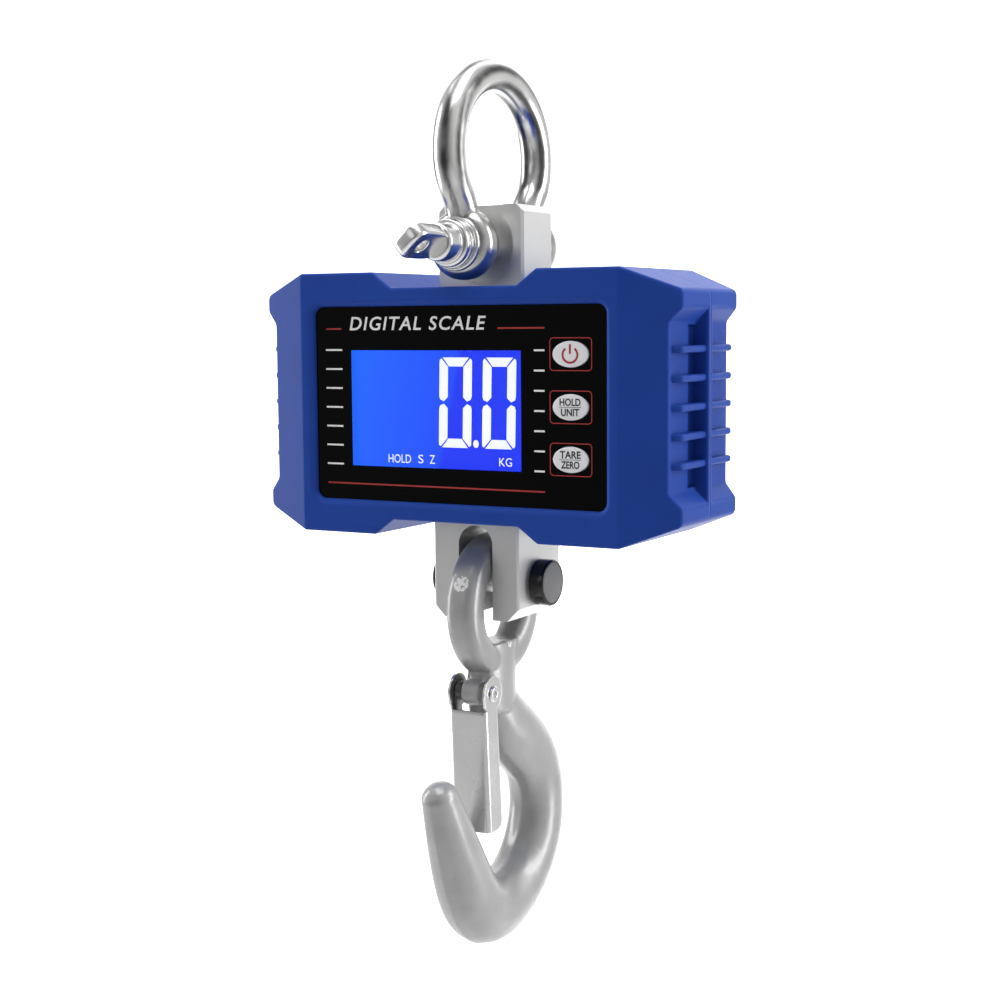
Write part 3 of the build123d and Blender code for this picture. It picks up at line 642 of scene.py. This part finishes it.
def shackleBow():
    # a round bar along the bow line, fused with its ears and set back to an exact tube above them
    line = bowLine()
    path, across, up = inPlane(line[::3])
    bar = alongPath(path, across, up, superEllipse(bowShape["wire"], bowShape["wire"], 2, 48))
    mesh, place = oneSkin([bar, earParts(1), earParts(-1)], shacklePinAt,
                          bowShape["voxel"], bowShape["rounds"])
    place, streaks = onTube(place, line, bowShape["wire"], 15.0, 24.0)
    setPlaces(mesh, place)
    # the painted reflection bands ride on the points, for the bar's material to read
    layer = mesh.attributes.new("streaks", "FLOAT", "POINT")
    layer.data.foreach_set("value", streaks.astype(np.float32))
    piece("shackleBow", mesh, "shackle", streakedSteel(), ["shackle_bow"], 0)
    builtPiece("shackleBosses", [bossParts(1), bossParts(-1)], shacklePinAt, "shackle",
               mats["shackle_steel"])


pinShape = {
    "shaft": 6.0, "end": 29.8, "collarStart": -28.75, "collarEnd": -33.8, "collar": 8.4,
    "neck": 6.4, "neckEnd": -41.8, "tabHalf": 6.3, "tabThick": 2.75, "tabFrom": -37.8, "tabTo": -60.0,
    "eye": 2.75, "eyeY": -52.4, "twist": 42.0,
}


def pinBody():
    # shaft, grooved collar and neck as one profile, turned round the pin's axis
    p = pinShape
    start, end = p["collarStart"], p["collarEnd"]
    groove = (start + end) / 2
    profile = [
        (p["end"], 0), (p["end"], p["shaft"]), (start, p["shaft"]), (start, p["collar"]),
        (groove + 0.3, p["collar"]), (groove, p["collar"] - 0.55), (groove - 0.3, p["collar"] - 0.2),
        (end, p["collar"] - 0.2), (end, p["neck"]), (p["neckEnd"], p["neck"]), (p["neckEnd"], 0),
    ]
    radii = [0, 1.0, 0, 0.9, 0.25, 0.2, 0.25, 1.3, 0.8, 1.5, 0]
    return turned(roundedLine(profile, radii, 8), "y", 128)


def pinTab():
    # rings run from the eye's rim over the face, round the outer edge and back on the other face
    p = pinShape
    angle = np.linspace(0, 2 * math.pi, 120, endpoint=False)
    c, s = np.cos(angle), np.sin(angle)
    reach = np.where(s < 0, p["eyeY"] - p["tabTo"], p["tabFrom"] - p["eyeY"])
    outer = ((abs(c) / p["tabHalf"]) ** 3.2 + (abs(s) / reach) ** 3.2) ** (-1 / 3.2)
    half, soft = p["tabThick"], 1.3
    turn = np.linspace(0, math.pi / 2, 7)
    edge = [(1, soft * (math.sin(t) - 1), half - soft * (1 - math.cos(t))) for t in turn]
    rim = [(0, 0.5 * (1 - math.cos(t)), half - 0.5 * (1 - math.sin(t))) for t in turn]
    face = [(f, 0.5 * (1 - f) - soft * f, half) for f in (0.25, 0.5, 0.75)]
    top = rim + face + edge
    ring = np.array(top + [(a, b, -h) for a, b, h in top[::-1]])
    radius = p["eye"] * (1 - ring[:, 0]) + outer[:, None] * ring[:, 0] + ring[:, 1]
    height = np.broadcast_to(ring[:, 2], radius.shape)
    flat = np.stack([radius * c[:, None], p["eyeY"] + radius * s[:, None], height], -1)
    t = math.radians(-p["twist"])
    x = flat[..., 0] * math.cos(t) + flat[..., 2] * math.sin(t)
    z = -flat[..., 0] * math.sin(t) + flat[..., 2] * math.cos(t)
    return gridPart(np.stack([x, flat[..., 1], z], -1), closeRows=True, closeColumns=True)


shackleBow()
builtPiece("screwPin", [pinBody(), pinTab()], shacklePinAt, "screw_pin", mats["shackle_steel"],
           ["shackle_pin"], 40)
print("shackle done")

# hook, in millimetres from its pin
hookShape = {
    # place in Y and Z from the pin, half depth in the hook's plane, half thickness across it
    "arm": [
        (-3.0, -43.0, 9.0, 6.2), (6.0, -55.0, 11.8, 8.2), (24.5, -72.5, 12.0, 9.3),
        (28.5, -94.0, 11.2, 9.8), (10.0, -117.0, 11.2, 10.2), (-13.5, -119.0, 12.2, 10.6),
        (-29.5, -98.5, 11.0, 9.1), (-42.1, -71.0, 6.6, 6.1),
    ],
    "neck": [
        (-2.8, -22.0, 13.0, 6.0), (-4.0, -30.0, 12.6, 6.5), (-5.0, -38.0, 12.4, 6.8),
        (-3.5, -47.0, 12.0, 6.9),
    ],
    "eyeInner": 14.6, "eyeBar": 5.9, "eyeHalf": 6.0, "eyeAt": (-2.8, -8.87), "eyePower": 2.9,
    "lug": 4.6, "lugHalf": 3.4, "voxel": 0.55, "rounds": 34,
    "tipReach": 5.4, "tipPower": 2.05, "flashHeight": 0.35, "flashWidth": 0.09,
}


def hookArm():
    # squarish ellipses along the line, with the low ridge where the two halves of the die met
    h = hookShape
    rows, columns = 150, 72
    line = smoothLine(h["arm"], rows)
    way = (line[-1, :2] - line[-2, :2]) / np.linalg.norm(line[-1, :2] - line[-2, :2])
    k = np.sin(np.linspace(0.12, 1.0, 14) * math.pi / 2)[:, None]
    shrink = np.maximum(1 - k**h["tipPower"], 1e-5) ** (1 / h["tipPower"])
    tip = np.concatenate([line[-1:, :2] + way * k * h["tipReach"], line[-1:, 2:] * shrink], 1)
    line = np.concatenate([line, tip])
    angle = np.linspace(0, 2 * math.pi, columns, endpoint=False)
    shape = superEllipse(1, 1, 2.15, columns)
    fromPlane = np.arccos(np.clip(abs(np.sin(angle)), -1, 1))
    ridge = 1 + h["flashHeight"] / 11 * np.exp(-((fromPlane / h["flashWidth"]) ** 2))
    profile = shape[None] * ridge[None, :, None] * line[:, None, [3, 2]]
    path, across, up = inPlane(line[:, :2])
    up[rows:] = up[rows - 1]
    return alongPath(path, across, up, profile)


def hookEye():
    # a squarish section turned round the hook pin's axis
    h = hookShape
    section = superEllipse(h["eyeHalf"], h["eyeBar"], h["eyePower"], 48)
    section[:, 1] += h["eyeInner"] + h["eyeBar"]
    points, faces = turned(section, "x", 160, closed=True)
    return points + (0, *h["eyeAt"]), faces


def hookNeck():
    # squarish ellipses stacked down the neck
    rows, columns = 24, 64
    line = smoothLine(hookShape["neck"], rows)
    unit = superEllipse(1, 1, 2.3, columns)
    points = np.zeros((rows, columns, 3))
    points[..., 0] = unit[:, 0] * line[:, 3:]
    points[..., 1] = unit[:, 1] * line[:, 2:3] + line[:, :1]
    points[..., 2] = line[:, 1:2]
    ends = points[[0, -1]].mean(1, keepdims=True).repeat(columns, 1)
    return gridPart(np.concatenate([ends[:1], points, ends[1:]]), closeColumns=True)


def hookLug():
    # a short round bar across the hook where the rivet passes, and the web behind it
    h = hookShape
    y, z = (latchPivotAt - hookPinAt)[1:] / mm
    bar = roundedLine([(-h["lugHalf"], 0), (-h["lugHalf"], h["lug"]), (h["lugHalf"], h["lug"]),
                       (h["lugHalf"], 0)], [0, 0.8, 0.8, 0], 5)
    points, faces = turned(bar, "x", 64)
    web = np.array([(y, z), (y + 5, z - 0.5), (y + 12, z - 1)])
    path, across, up = inPlane(web)
    slab = alongPath(path, across, up, superEllipse(h["lugHalf"], h["lug"], 5, 48))
    return [(points + (0, y, z), faces), slab]


def hook():
    # arm, eye, neck and lug fused to one forging
    mesh, place = oneSkin([hookArm(), hookEye(), hookNeck(), *hookLug()], hookPinAt,
                          hookShape["voxel"], hookShape["rounds"])
    setPlaces(mesh, place)
    piece("forgedHook", mesh, "hook", mats["hook_paint"], ["hook"], 0)


hook()
print("hook done")

# latch, rivet and spring, in millimetres from the latch's pivot
latchShape = {
    "half": 7.5, "sheet": 0.8, "fold": 1.7, "top": -5.8, "bottom": -50.1,
    "frontTop": -5.9, "frontBottom": -3.2, "waist": 2.5, "rearBottom": 6.0, "corner": 3.6, "ear": 6.3,
    "rivet": 2.0, "rivetHead": 2.9, "rivetEnd": 8.5, "rivetHole": 1.2,
    "coil": 3.05, "wire": 0.42, "coilFrom": -6.2, "coilTo": -4.0, "turns": 3.25,
}


def channelRows(z):
    # one row of the folded sheet: flange, fold, front, fold, flange, at each height
    s = latchShape
    share = (z - s["top"]) / (s["bottom"] - s["top"])
    front = s["frontTop"] + (s["frontBottom"] - s["frontTop"]) * share
    rear = s["waist"] + (s["rearBottom"] - s["waist"]) * np.clip(share * 1.02, 0, 1) ** 0.85
    drop = np.clip(s["bottom"] + s["corner"] - z, 0, s["corner"])
    rear = rear - (s["corner"] - np.sqrt(s["corner"] ** 2 - drop**2))
    run = np.linspace(0, 1, 12)[:-1]
    turn = np.linspace(0, math.pi / 2, 8)
    flange = np.stack([
        np.full((len(z), len(run)), s["half"]),
        rear[:, None] + (front + s["fold"] - rear)[:, None] * run,
    ], -1)
    fold = np.stack([
        np.broadcast_to(s["half"] - s["fold"] + s["fold"] * np.cos(turn), (len(z), len(turn))),
        (front + s["fold"])[:, None] - s["fold"] * np.sin(turn),
    ], -1)
    right = np.concatenate([flange, fold], 1)
    across = np.linspace(s["half"] - s["fold"], s["fold"] - s["half"], 9)[1:-1]
    middlePart = np.stack([
        np.broadcast_to(across, (len(z), len(across))),
        np.broadcast_to(front[:, None], (len(z), len(across))),
    ], -1)
    row = np.concatenate([right, middlePart, right[:, ::-1] * (-1, 1)], 1)
    high = np.broadcast_to(z[:, None, None], (*row.shape[:2], 1))
    return np.concatenate([row, high], 2)


def earRows(side):
    # the flange carries on above the front plate and ends in a round ear
    s = latchShape
    start = math.asin(s["top"] / s["ear"])
    z = s["ear"] * np.sin(np.linspace(start, math.pi / 2, 26))
    ring = np.sqrt(np.maximum(s["ear"] ** 2 - z**2, 0))
    rise = np.clip((z - s["top"]) / 3.0, 0, 1)
    front = np.where(z < -2.2, s["frontTop"] + s["fold"] * (1 - rise) ** 2, -ring)
    rear = np.where(z < 0, ring + (s["waist"] - ring[0]) * (1 - rise), ring)
    run = np.linspace(0, 1, 12)
    y = rear[:, None] + (front - rear)[:, None] * run
    x = np.full_like(y, side * s["half"])
    return np.stack([x, y, np.broadcast_to(z[:, None], y.shape)], -1)


def latchSheet():
    # channel and ears as one sheet, given its thickness and softened edges by modifiers
    s = latchShape
    z = np.concatenate([np.linspace(s["top"], s["bottom"] + s["corner"], 30)[:-1],
                        s["bottom"] + s["corner"] * np.cos(np.linspace(0, math.pi / 2, 10))])
    parts = [gridPart(channelRows(z)), gridPart(earRows(1)), gridPart(earRows(-1))]
    points, faces = joinParts(parts)
    mesh = meshFrom("latchChannel", points * mm + latchPivotAt, faces)
    closedUp(mesh)
    normals = readOut(mesh.polygons, "normal", 3)
    away = readOut(mesh.polygons, "center", 3) - latchPivotAt - (0, 0.004, -0.028)
    if (normals[:, :2] * away[:, :2]).sum() < 0:
        mesh.flip_normals()
    made = piece("latchChannel", mesh, "latch", mats["latch_steel"], ["latch"], 40)
    thick = made.modifiers.new("sheet", "SOLIDIFY")
    thick.thickness, thick.offset, thick.use_even_offset = s["sheet"] * mm, -1, True
    soft = made.modifiers.new("edges", "BEVEL")
    soft.width, soft.segments, soft.limit_method = 0.13 * mm, 2, "ANGLE"
    soft.angle_limit = math.radians(50)


def latchRivet():
    # half a profile from a hollow end to the middle, mirrored and turned round the rivet's axis
    s = latchShape
    end, head = s["rivetEnd"], s["rivetHead"]
    half = [(end - 0.9, 0), (end - 0.9, s["rivetHole"] - 0.15), (end, s["rivetHole"]), (end, head - 0.5),
            (end - 0.5, head), (s["half"] + 0.06, head), (s["half"] + 0.06, s["rivet"])]
    half = roundedLine(half, [0, 0.1, 0.4, 0.45, 0.3, 0.05, 0], 6)
    profile = np.concatenate([half, half[::-1] * (-1, 1)])
    builtPiece("latchRivet", [turned(profile, "x", 64)], latchPivotAt, "hook", mats["latch_steel"],
               ["latch_rivet"])


def latchSpring():
    # a helix round the rivet; one leg runs down inside the front plate, the other into the hook
    s = latchShape
    angle = np.linspace(0, 2 * math.pi * s["turns"], 130)
    x = s["coilFrom"] + (s["coilTo"] - s["coilFrom"]) * angle / angle[-1]
    coil = np.stack([x, -s["coil"] * np.cos(angle), s["coil"] * np.sin(angle)], 1)
    legZ = np.linspace(-13.0, -0.6, 16)
    leg = np.stack([np.full(len(legZ), s["coilFrom"]), np.full(len(legZ), -s["coil"]), legZ], 1)
    tail = coil[-1] + np.linspace(0.04, 1, 8)[:, None] * (0.2, 5.0, -1.5)
    path = np.concatenate([leg, coil, tail])
    way = headings(path)
    across = np.cross(way, (1.0, 0.02, 0.03))
    across /= np.linalg.norm(across, axis=1)[:, None]
    bar = alongPath(path, across, np.cross(across, way), superEllipse(s["wire"], s["wire"], 2, 12))
    builtPiece("latchSpring", [bar], latchPivotAt, "hook", mats["spring_steel"],
               ["latch_spring"], 60)


latchSheet()
latchRivet()
latchSpring()
print("latch done")

# round caps on the hook pin
capShape = {"inner": 17.2, "outer": 22.8, "radius": 8.3, "face": 7.3, "sunk": 0.3, "round": 0.8}


def pinCaps():
    # each cap and its disc is a profile turned round the hook pin's axis
    c = capShape
    parts, discs = [], []
    for side in (-1, 1):
        rim = [(c["inner"], 6.9), (c["inner"], c["radius"]), (c["outer"], c["radius"]),
               (c["outer"], c["face"]), (c["outer"] - c["sunk"], c["face"]), (c["outer"] - c["sunk"], 0),
               (c["inner"] + 2.4, 0), (c["inner"] + 2.4, 6.9)]
        rim = roundedLine(rim, [0, 0.2, c["round"], 0.12, 0, 0, 0, 0], 8)
        rim = np.concatenate([rim, rim[:1]])
        rim[:, 0] *= side
        parts.append(turned(rim, "x", 96))
        face = [(c["outer"] - c["sunk"] + 0.01, 0), (c["outer"] - c["sunk"] + 0.01, c["face"] - 0.06),
                (c["outer"] - 0.04, c["face"] - 0.06), (c["outer"] - 0.04, 0)]
        face = roundedLine(face, [0, 0, 0.15, 0], 4)
        face[:, 0] *= side
        discs.append(turned(face, "x", 96))
    builtPiece("pinCaps", parts, hookPinAt, "housing", mats["cap_black"], ["pin_caps"])
    builtPiece("capDiscs", discs, hookPinAt, "housing", mats["disc_grey"], ["cap_discs"])


pinCaps()

# panel prints lie on the film, from the middle of the housing, X to the right and Z up
panelShape = {
    "face": -28.6, "ink": 0.05,
    "ticksLeft": (-53.8, -46.8), "ticksRight": (30.6, 34.6), "tickTop": 18.98, "tickBottom": -21.66,
    "tickThick": 0.62, "ticks": 7,
    "lineTop": 26.45, "lineBottom": -28.57, "lineThick": 0.55, "lineEnds": (-53.6, 34.6),
    "headingGap": (-47.0, 16.7), "heading": ((-43.4, 12.2), (25.5, 31.1)),
    "frameHalf": (7.9, 5.58), "frameRound": 1.4, "frameThick": 0.32, "keyX": 44.4,
}
keys = {"key_power": 17.7, "key_hold": 0.1, "key_tare": -17.4}
keyShape = {"half": (6.65, 4.375), "proud": 0.5, "round": 0.45, "back": 1.2}
panelY = panelShape["face"]


def standing(outline, y):
    # an outline in X and Z, stood up at one Y
    return np.column_stack([outline[:, 0], np.full(len(outline), y), outline[:, 1]])


def flatPart(outline, front, depth):
    # an outline in X and Z as a thin closed plate from front to front + depth
    outline = np.array(outline, float)
    centre = np.repeat(outline.mean(0, keepdims=True), len(outline), 0)
    places = ((centre, front), (outline, front), (outline, front + depth), (centre, front + depth))
    return gridPart(np.stack([standing(*place) for place in places]), closeColumns=True)


def bandPart(outer, inner, front, depth):
    # the band between two outlines with the same count of points
    places = ((outer, front), (inner, front), (inner, front + depth), (outer, front + depth))
    return gridPart(np.stack([standing(*place) for place in places]), closeRows=True, closeColumns=True)


def stripe(x, z, thick):
    # a bar along X, from its two ends, its height and its thickness
    h = thick / 2
    return [(x[0], z - h), (x[1], z - h), (x[1], z + h), (x[0], z + h)]


def roundBox(halfX, halfZ, radius, centre):
    # a rectangle in X and Z with round corners
    corners = [(halfX, halfZ), (halfX, -halfZ), (-halfX, -halfZ), (-halfX, halfZ)]
    return roundedLine(corners, [radius] * 4, 8, closed=True) + centre


def word(text, x, z, front, depth=0.03, shear=0.0, spacing=1.0, bold=0.0):
    # the built-in face, as a mesh, stretched to fill the box x by z
    curve = bpy.data.curves.new("word", "FONT")
    curve.body, curve.shear, curve.space_character = text, shear, spacing
    curve.extrude, curve.resolution_u, curve.offset = 0.01, 4, bold
    holder = inScene("word", curve)
    mesh = bpy.data.meshes.new_from_object(holder.evaluated_get(bpy.context.evaluated_depsgraph_get()))
    bpy.data.objects.remove(holder)
    points = readOut(mesh.vertices, "co", 3)
    low, high = points.min(0), points.max(0)
    share = (points - low) / (high - low)
    placed = np.column_stack([x[0] + (x[1] - x[0]) * share[:, 0], front + depth * (1 - share[:, 2]),
                              z[0] + (z[1] - z[0]) * share[:, 1]])
    mesh.calc_loop_triangles()
    faces = readOut(mesh.loop_triangles, "vertices", 3, np.int32)
    bpy.data.meshes.remove(mesh)
    return placed, faces


def panelPrints():
    # tick marks and heading in white, lines and the frames of the keys in red
    p = panelShape
    front = panelY - p["ink"]
    white, red = [], []
    for z in np.linspace(p["tickTop"], p["tickBottom"], p["ticks"]):
        for ends in (p["ticksLeft"], p["ticksRight"]):
            white.append(flatPart(stripe(ends, z, p["tickThick"]), front, p["ink"]))
    (x0, x1), (z0, z1) = p["heading"]
    white.append(word("DIGITAL SCALE", (x0, x1), (z0 + 0.4, z1 - 0.4), front, p["ink"], 0.18, 1.15, 0.012))
    left, right = p["lineEnds"]
    for ends, z in (((left, p["headingGap"][0]), p["lineTop"]), ((p["headingGap"][1], right), p["lineTop"]),
                    ((left, right), p["lineBottom"])):
        red.append(flatPart(stripe(ends, z, p["lineThick"]), front, p["ink"]))
    for z in keys.values():
        centre, thick = (p["keyX"], z), p["frameThick"]
        wide, tall = p["frameHalf"]
        outer = roundBox(wide, tall, p["frameRound"], centre)
        inner = roundBox(wide - thick, tall - thick, p["frameRound"] - thick, centre)
        red.append(bandPart(outer, inner, front, p["ink"]))
    builtPiece("panelMarks", white, shellMiddle, "housing", inks["white"])
    builtPiece("panelLines", red, shellMiddle, "housing", inks["red"])


def keyCap(z):
    # ellipse rings from the middle of the face, over the rounded edge and down the side
    k = keyShape
    top = panelY - k["proud"]
    turn = np.linspace(0, math.pi / 2, 8)
    inset = [k["half"][1], 3.0, 1.6] + list(k["round"] * (1 - np.sin(turn))) + [0, k["half"][1]]
    crown = [-0.06, -0.05, -0.02] + list(k["round"] * (1 - np.cos(turn))) + [k["back"]] * 2
    rings = []
    for i, y in zip(inset, crown):
        share = 1 - i / k["half"][1]
        shape = superEllipse(max(k["half"][0] - i, k["half"][0] * share), k["half"][1] - i, 2, 96)
        shape[:, 0] *= share > 0
        rings.append(standing(shape, top + y))
    points = np.stack(rings) + (panelShape["keyX"], 0, z)
    return gridPart(points, closeColumns=True)


def powerSign(z, front):
    # three quarters of a ring, open at the top, and a bar in the opening
    angle = np.radians(np.linspace(128, 412, 60))
    ring = np.stack([np.cos(angle), np.sin(angle)], 1)
    centre = (panelShape["keyX"], z - 0.2)
    band = []
    for radius, y in ((2.95, front), (2.25, front), (2.25, front + 0.04), (2.95, front + 0.04)):
        band.append(standing(ring * (radius * 1.05, radius) + centre, y))
    band = np.stack(band)
    ends = band[:, [0, -1]].mean(0)
    first, last = np.repeat(ends[None, :1], 4, 0), np.repeat(ends[None, 1:], 4, 0)
    stroke = stripe((centre[0] - 0.36, centre[0] + 0.36), centre[1] + 1.9, 3.2)
    return [gridPart(np.concatenate([first, band, last], 1), closeRows=True), flatPart(stroke, front, 0.04)]


def keyPrints():
    # the key caps and what is printed on them
    labels = {"key_hold": ("HOLD", "UNIT"), "key_tare": ("TARE", "ZERO")}
    x, front = panelShape["keyX"], panelY - keyShape["proud"] - 0.09
    for node, z in keys.items():
        body = body_of(cadNodes[node])[0]
        builtPiece(node.replace("key_", "keyCap."), [keyCap(z)], shellMiddle, body, mats["key_grey"],
                   [node], 60)
        if node == "key_power":
            parts, ink = powerSign(z, front), inks["red"]
        else:
            upper, lower = labels[node]
            parts = [
                word(upper, (x - 3.9, x + 3.9), (z + 0.45, z + 2.95), front, bold=0.022),
                word(lower, (x - 3.4, x + 3.4), (z - 2.95, z - 0.45), front, bold=0.022),
                flatPart(stripe((x - 4.1, x + 4.1), z, 0.16), front, 0.03),
            ]
            ink = inks["black"]
        builtPiece(node.replace("key_", "keySign."), parts, shellMiddle, body, ink)


panelPrints()
keyPrints()

# display, behind the clear window
digitShape = {
    "width": 13.0, "height": 31.2, "stroke": 3.7, "bar": 3.1, "gap": 0.28, "corner": 1.0, "lean": 0.022,
    "left": (-6.7, 10.6), "bottom": -14.9, "dot": (7.9, -13.4, 1.05),
    "shift": (-1.10, 0.15),  # how far the window's refraction moves what lies behind it
}


def digitZero(left):
    # the six outer segments: two bars with slanted ends and four uprights, leaning slightly
    d = digitShape
    w, h, s, b, g, c = (d[k] for k in ("width", "height", "stroke", "bar", "gap", "corner"))
    mid = h / 2
    top = [(c + g, h), (w - c - g, h), (w - s - g * 0.4, h - b), (s + g * 0.4, h - b)]
    upright = [(g * 0.4, h - c * 0.8), (c * 0.75, h - c * 0.35), (s - g, h - b - g * 0.5),
               (s - g, mid + 1.9), (s * 0.5, mid + 0.45), (g * 0.4 + 0.25, mid + 1.1),
               (0, mid + 2.2), (0, h - c * 1.6)]
    shapes = []
    for shape in (top, upright):
        shape = np.array(shape)
        shapes += [shape, shape * (1, -1) + (0, h)]
    shapes += [shape * (-1, 1) + (w, 0) for shape in shapes[2:]]
    out = []
    for shape in shapes:
        shape = shape + (0, d["bottom"])
        shape[:, 0] += left + d["lean"] * shape[:, 1]
        out.append(shape)
    return out


def display():
    # a glowing plate behind the window, with the lit segments just in front of it
    d = digitShape
    low, high = (np.array(v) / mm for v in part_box("lcd_glass"))
    front = low[1] - 0.04
    shift = np.array(d["shift"])
    middleZ = shellMiddle[2] / mm
    glass = roundBox((high[0] - low[0]) / 2, (high[2] - low[2]) / 2, 0.4,
                     ((low[0] + high[0]) / 2, (low[2] + high[2]) / 2 - middleZ))
    builtPiece("displayGlass", [flatPart(glass, front, high[1] - front)], shellMiddle, "housing",
               displayMat, ["lcd_glass"])
    lit = [flatPart(shape + shift, front - 0.05, 0.03) for left in d["left"] for shape in digitZero(left)]
    x, z, radius = d["dot"]
    lit.append(flatPart(superEllipse(radius, radius * 1.25, 2.4, 24) + (x, z) + shift, front - 0.05, 0.03))
    for text, x0, x1, z0, z1 in (("HOLD", -27.9, -18.5, -20.9, -17.9), ("S", -15.5, -13.4, -20.8, -17.8),
                                 ("Z", -10.8, -8.7, -20.8, -17.8), ("KG", 17.0, 22.0, -20.8, -17.9)):
        lit.append(word(text, (x0 + shift[0], x1 + shift[0]), (z0 + shift[1], z1 + shift[1]), front - 0.05))
    builtPiece("litSegments", lit, shellMiddle, "housing", segmentMat)


display()
print("panel and display done")

# studio, in metres and watts
studio = {
    "floorZ": -0.85, "wallY": 1.5, "bend": 0.8, "halfWidth": 3.0, "wallTop": 2.4, "frontY": -2.6,
    "pale": 0.86, "glow": 1.0,
    "lights": {
        # place, size in X and Y, watts, all aimed at the middle of the object
        "above": ((-0.05, -0.05, 0.95), (1.1, 0.8), 11.0),
        "left": ((-1.15, -0.20, 0.05), (0.30, 1.3), 8.0),
        "right": ((0.95, 0.50, 0.05), (0.35, 1.3), 9.0),
        "front": ((-0.35, -1.3, 0.40), (0.6, 0.6), 0.8),
    },
    "aim": (0, 0, -0.13),
    "dim": 0.04,
    "patches": [
        # a soft glow of the surroundings: where it is, the cosines it fades between, and its strength
        ((-0.62, -0.78, 0.0), (0.55, 0.97), 0.27),
        ((0.88, -0.47, 0.0), (0.50, 0.97), 0.30),
        ((0.95, 0.25, 0.15), (0.30, 0.95), 0.40),
        ((-1.0, 0.0, 0.1), (0.40, 0.95), 0.22),
        ((0.0, 0.0, 1.0), (0.25, 0.95), 0.45),
    ],
}
cameraShape = {
    "place": (0.30246, -0.53982, -0.08113), "azimuth": 29.16, "down": 5.83, "roll": -0.41, "lens": 62.01,
}


def backdrop():
    # floor, quarter-round bend and wall as one profile carried along X
    s = studio
    corner = roundedLine([(s["frontY"], s["floorZ"]), (s["wallY"], s["floorZ"]), (s["wallY"], s["wallTop"])],
                         [0, s["bend"], 0], 24)
    x = np.array([-s["halfWidth"], s["halfWidth"]])
    points = np.zeros((2, len(corner), 3))
    points[..., 0] = x[:, None]
    points[..., 1:] = corner
    flat, faces = gridPart(points)
    mesh = meshFrom("backdrop", flat, faces.tolist())
    made, tree, shader = newMaterial("palePaper")
    grain = noiseNode(tree, 40).outputs["Fac"]
    pale = (s["pale"],) * 3
    colour = mixed(tree, spread(tree, grain, 0, 1), shaded(pale, 0.99), pale)
    tree.links.new(colour, shader.inputs["Base Color"])
    shader.inputs["Roughness"].default_value = 0.9
    shader.inputs["Emission Color"].default_value = (1, 1, 1, 1)
    place = tree.nodes.new("ShaderNodeTexCoord")
    apart = tree.nodes.new("ShaderNodeSeparateXYZ")
    tree.links.new(place.outputs["Object"], apart.inputs["Vector"])
    left = spread(tree, apart.outputs["X"], 1.0, 0.0, 0.05, 0.55)
    back = spread(tree, apart.outputs["Y"], 0.0, s["glow"], 0.45, 0.9)
    tree.links.new(calculated(tree, "MULTIPLY", left, back), shader.inputs["Emission Strength"])
    mesh.materials.append(made)
    mesh.shade_smooth()
    paper = inScene("backdrop", mesh)


def lights():
    # soft area lamps, all turned to the middle of the object
    for name, (place, size, watts) in studio["lights"].items():
        lamp = bpy.data.lights.new(name, "AREA")
        lamp.shape, lamp.size, lamp.size_y, lamp.energy = "RECTANGLE", *size, watts
        holder = inScene(name, lamp)
        holder.location = place
        holder.rotation_euler = (Vector(studio["aim"]) - Vector(place)).to_track_quat("-Z", "Y").to_euler()


def surroundings():
    # dim, so that polished steel has dark bands, with a few soft glows beside and above the object
    world = bpy.data.worlds.new("studio")
    bpy.context.scene.world = world
    world.use_nodes = True
    tree = world.node_tree
    place = tree.nodes.new("ShaderNodeTexCoord")
    total = studio["dim"]
    for way, (start, end), strength in studio["patches"]:
        dot = tree.nodes.new("ShaderNodeVectorMath")
        dot.operation = "DOT_PRODUCT"
        tree.links.new(place.outputs["Generated"], dot.inputs[0])
        dot.inputs[1].default_value = tuple(Vector(way).normalized())
        glow = spread(tree, dot.outputs["Value"], 0, strength, start, end)
        total = calculated(tree, "ADD", glow, total)
    tree.nodes["Background"].inputs["Color"].default_value = (1, 1, 1, 1)
    tree.links.new(total, tree.nodes["Background"].inputs["Strength"])


def camera():
    # azimuth round Z, then down, then a little roll
    c = cameraShape
    a, e, r = (math.radians(c[k]) for k in ("azimuth", "down", "roll"))
    back = Vector((math.sin(a) * math.cos(e), -math.cos(a) * math.cos(e), math.sin(e)))
    right = Vector((math.cos(a), math.sin(a), 0))
    up = back.cross(right)
    x = right * math.cos(r) + up * math.sin(r)
    y = up * math.cos(r) - right * math.sin(r)
    data = bpy.data.cameras.new("studioCamera")
    data.lens, data.sensor_width, data.clip_start, data.clip_end = c["lens"], 36, 0.01, 20
    holder = inScene("studioCamera", data)
    turn = Matrix((x, y, back)).transposed().to_4x4()
    holder.matrix_world = Matrix.Translation(c["place"]) @ turn
    bpy.context.scene.camera = holder


backdrop()
lights()
surroundings()
camera()
bpy.context.scene.view_settings.view_transform = "Standard"
print("studio done")
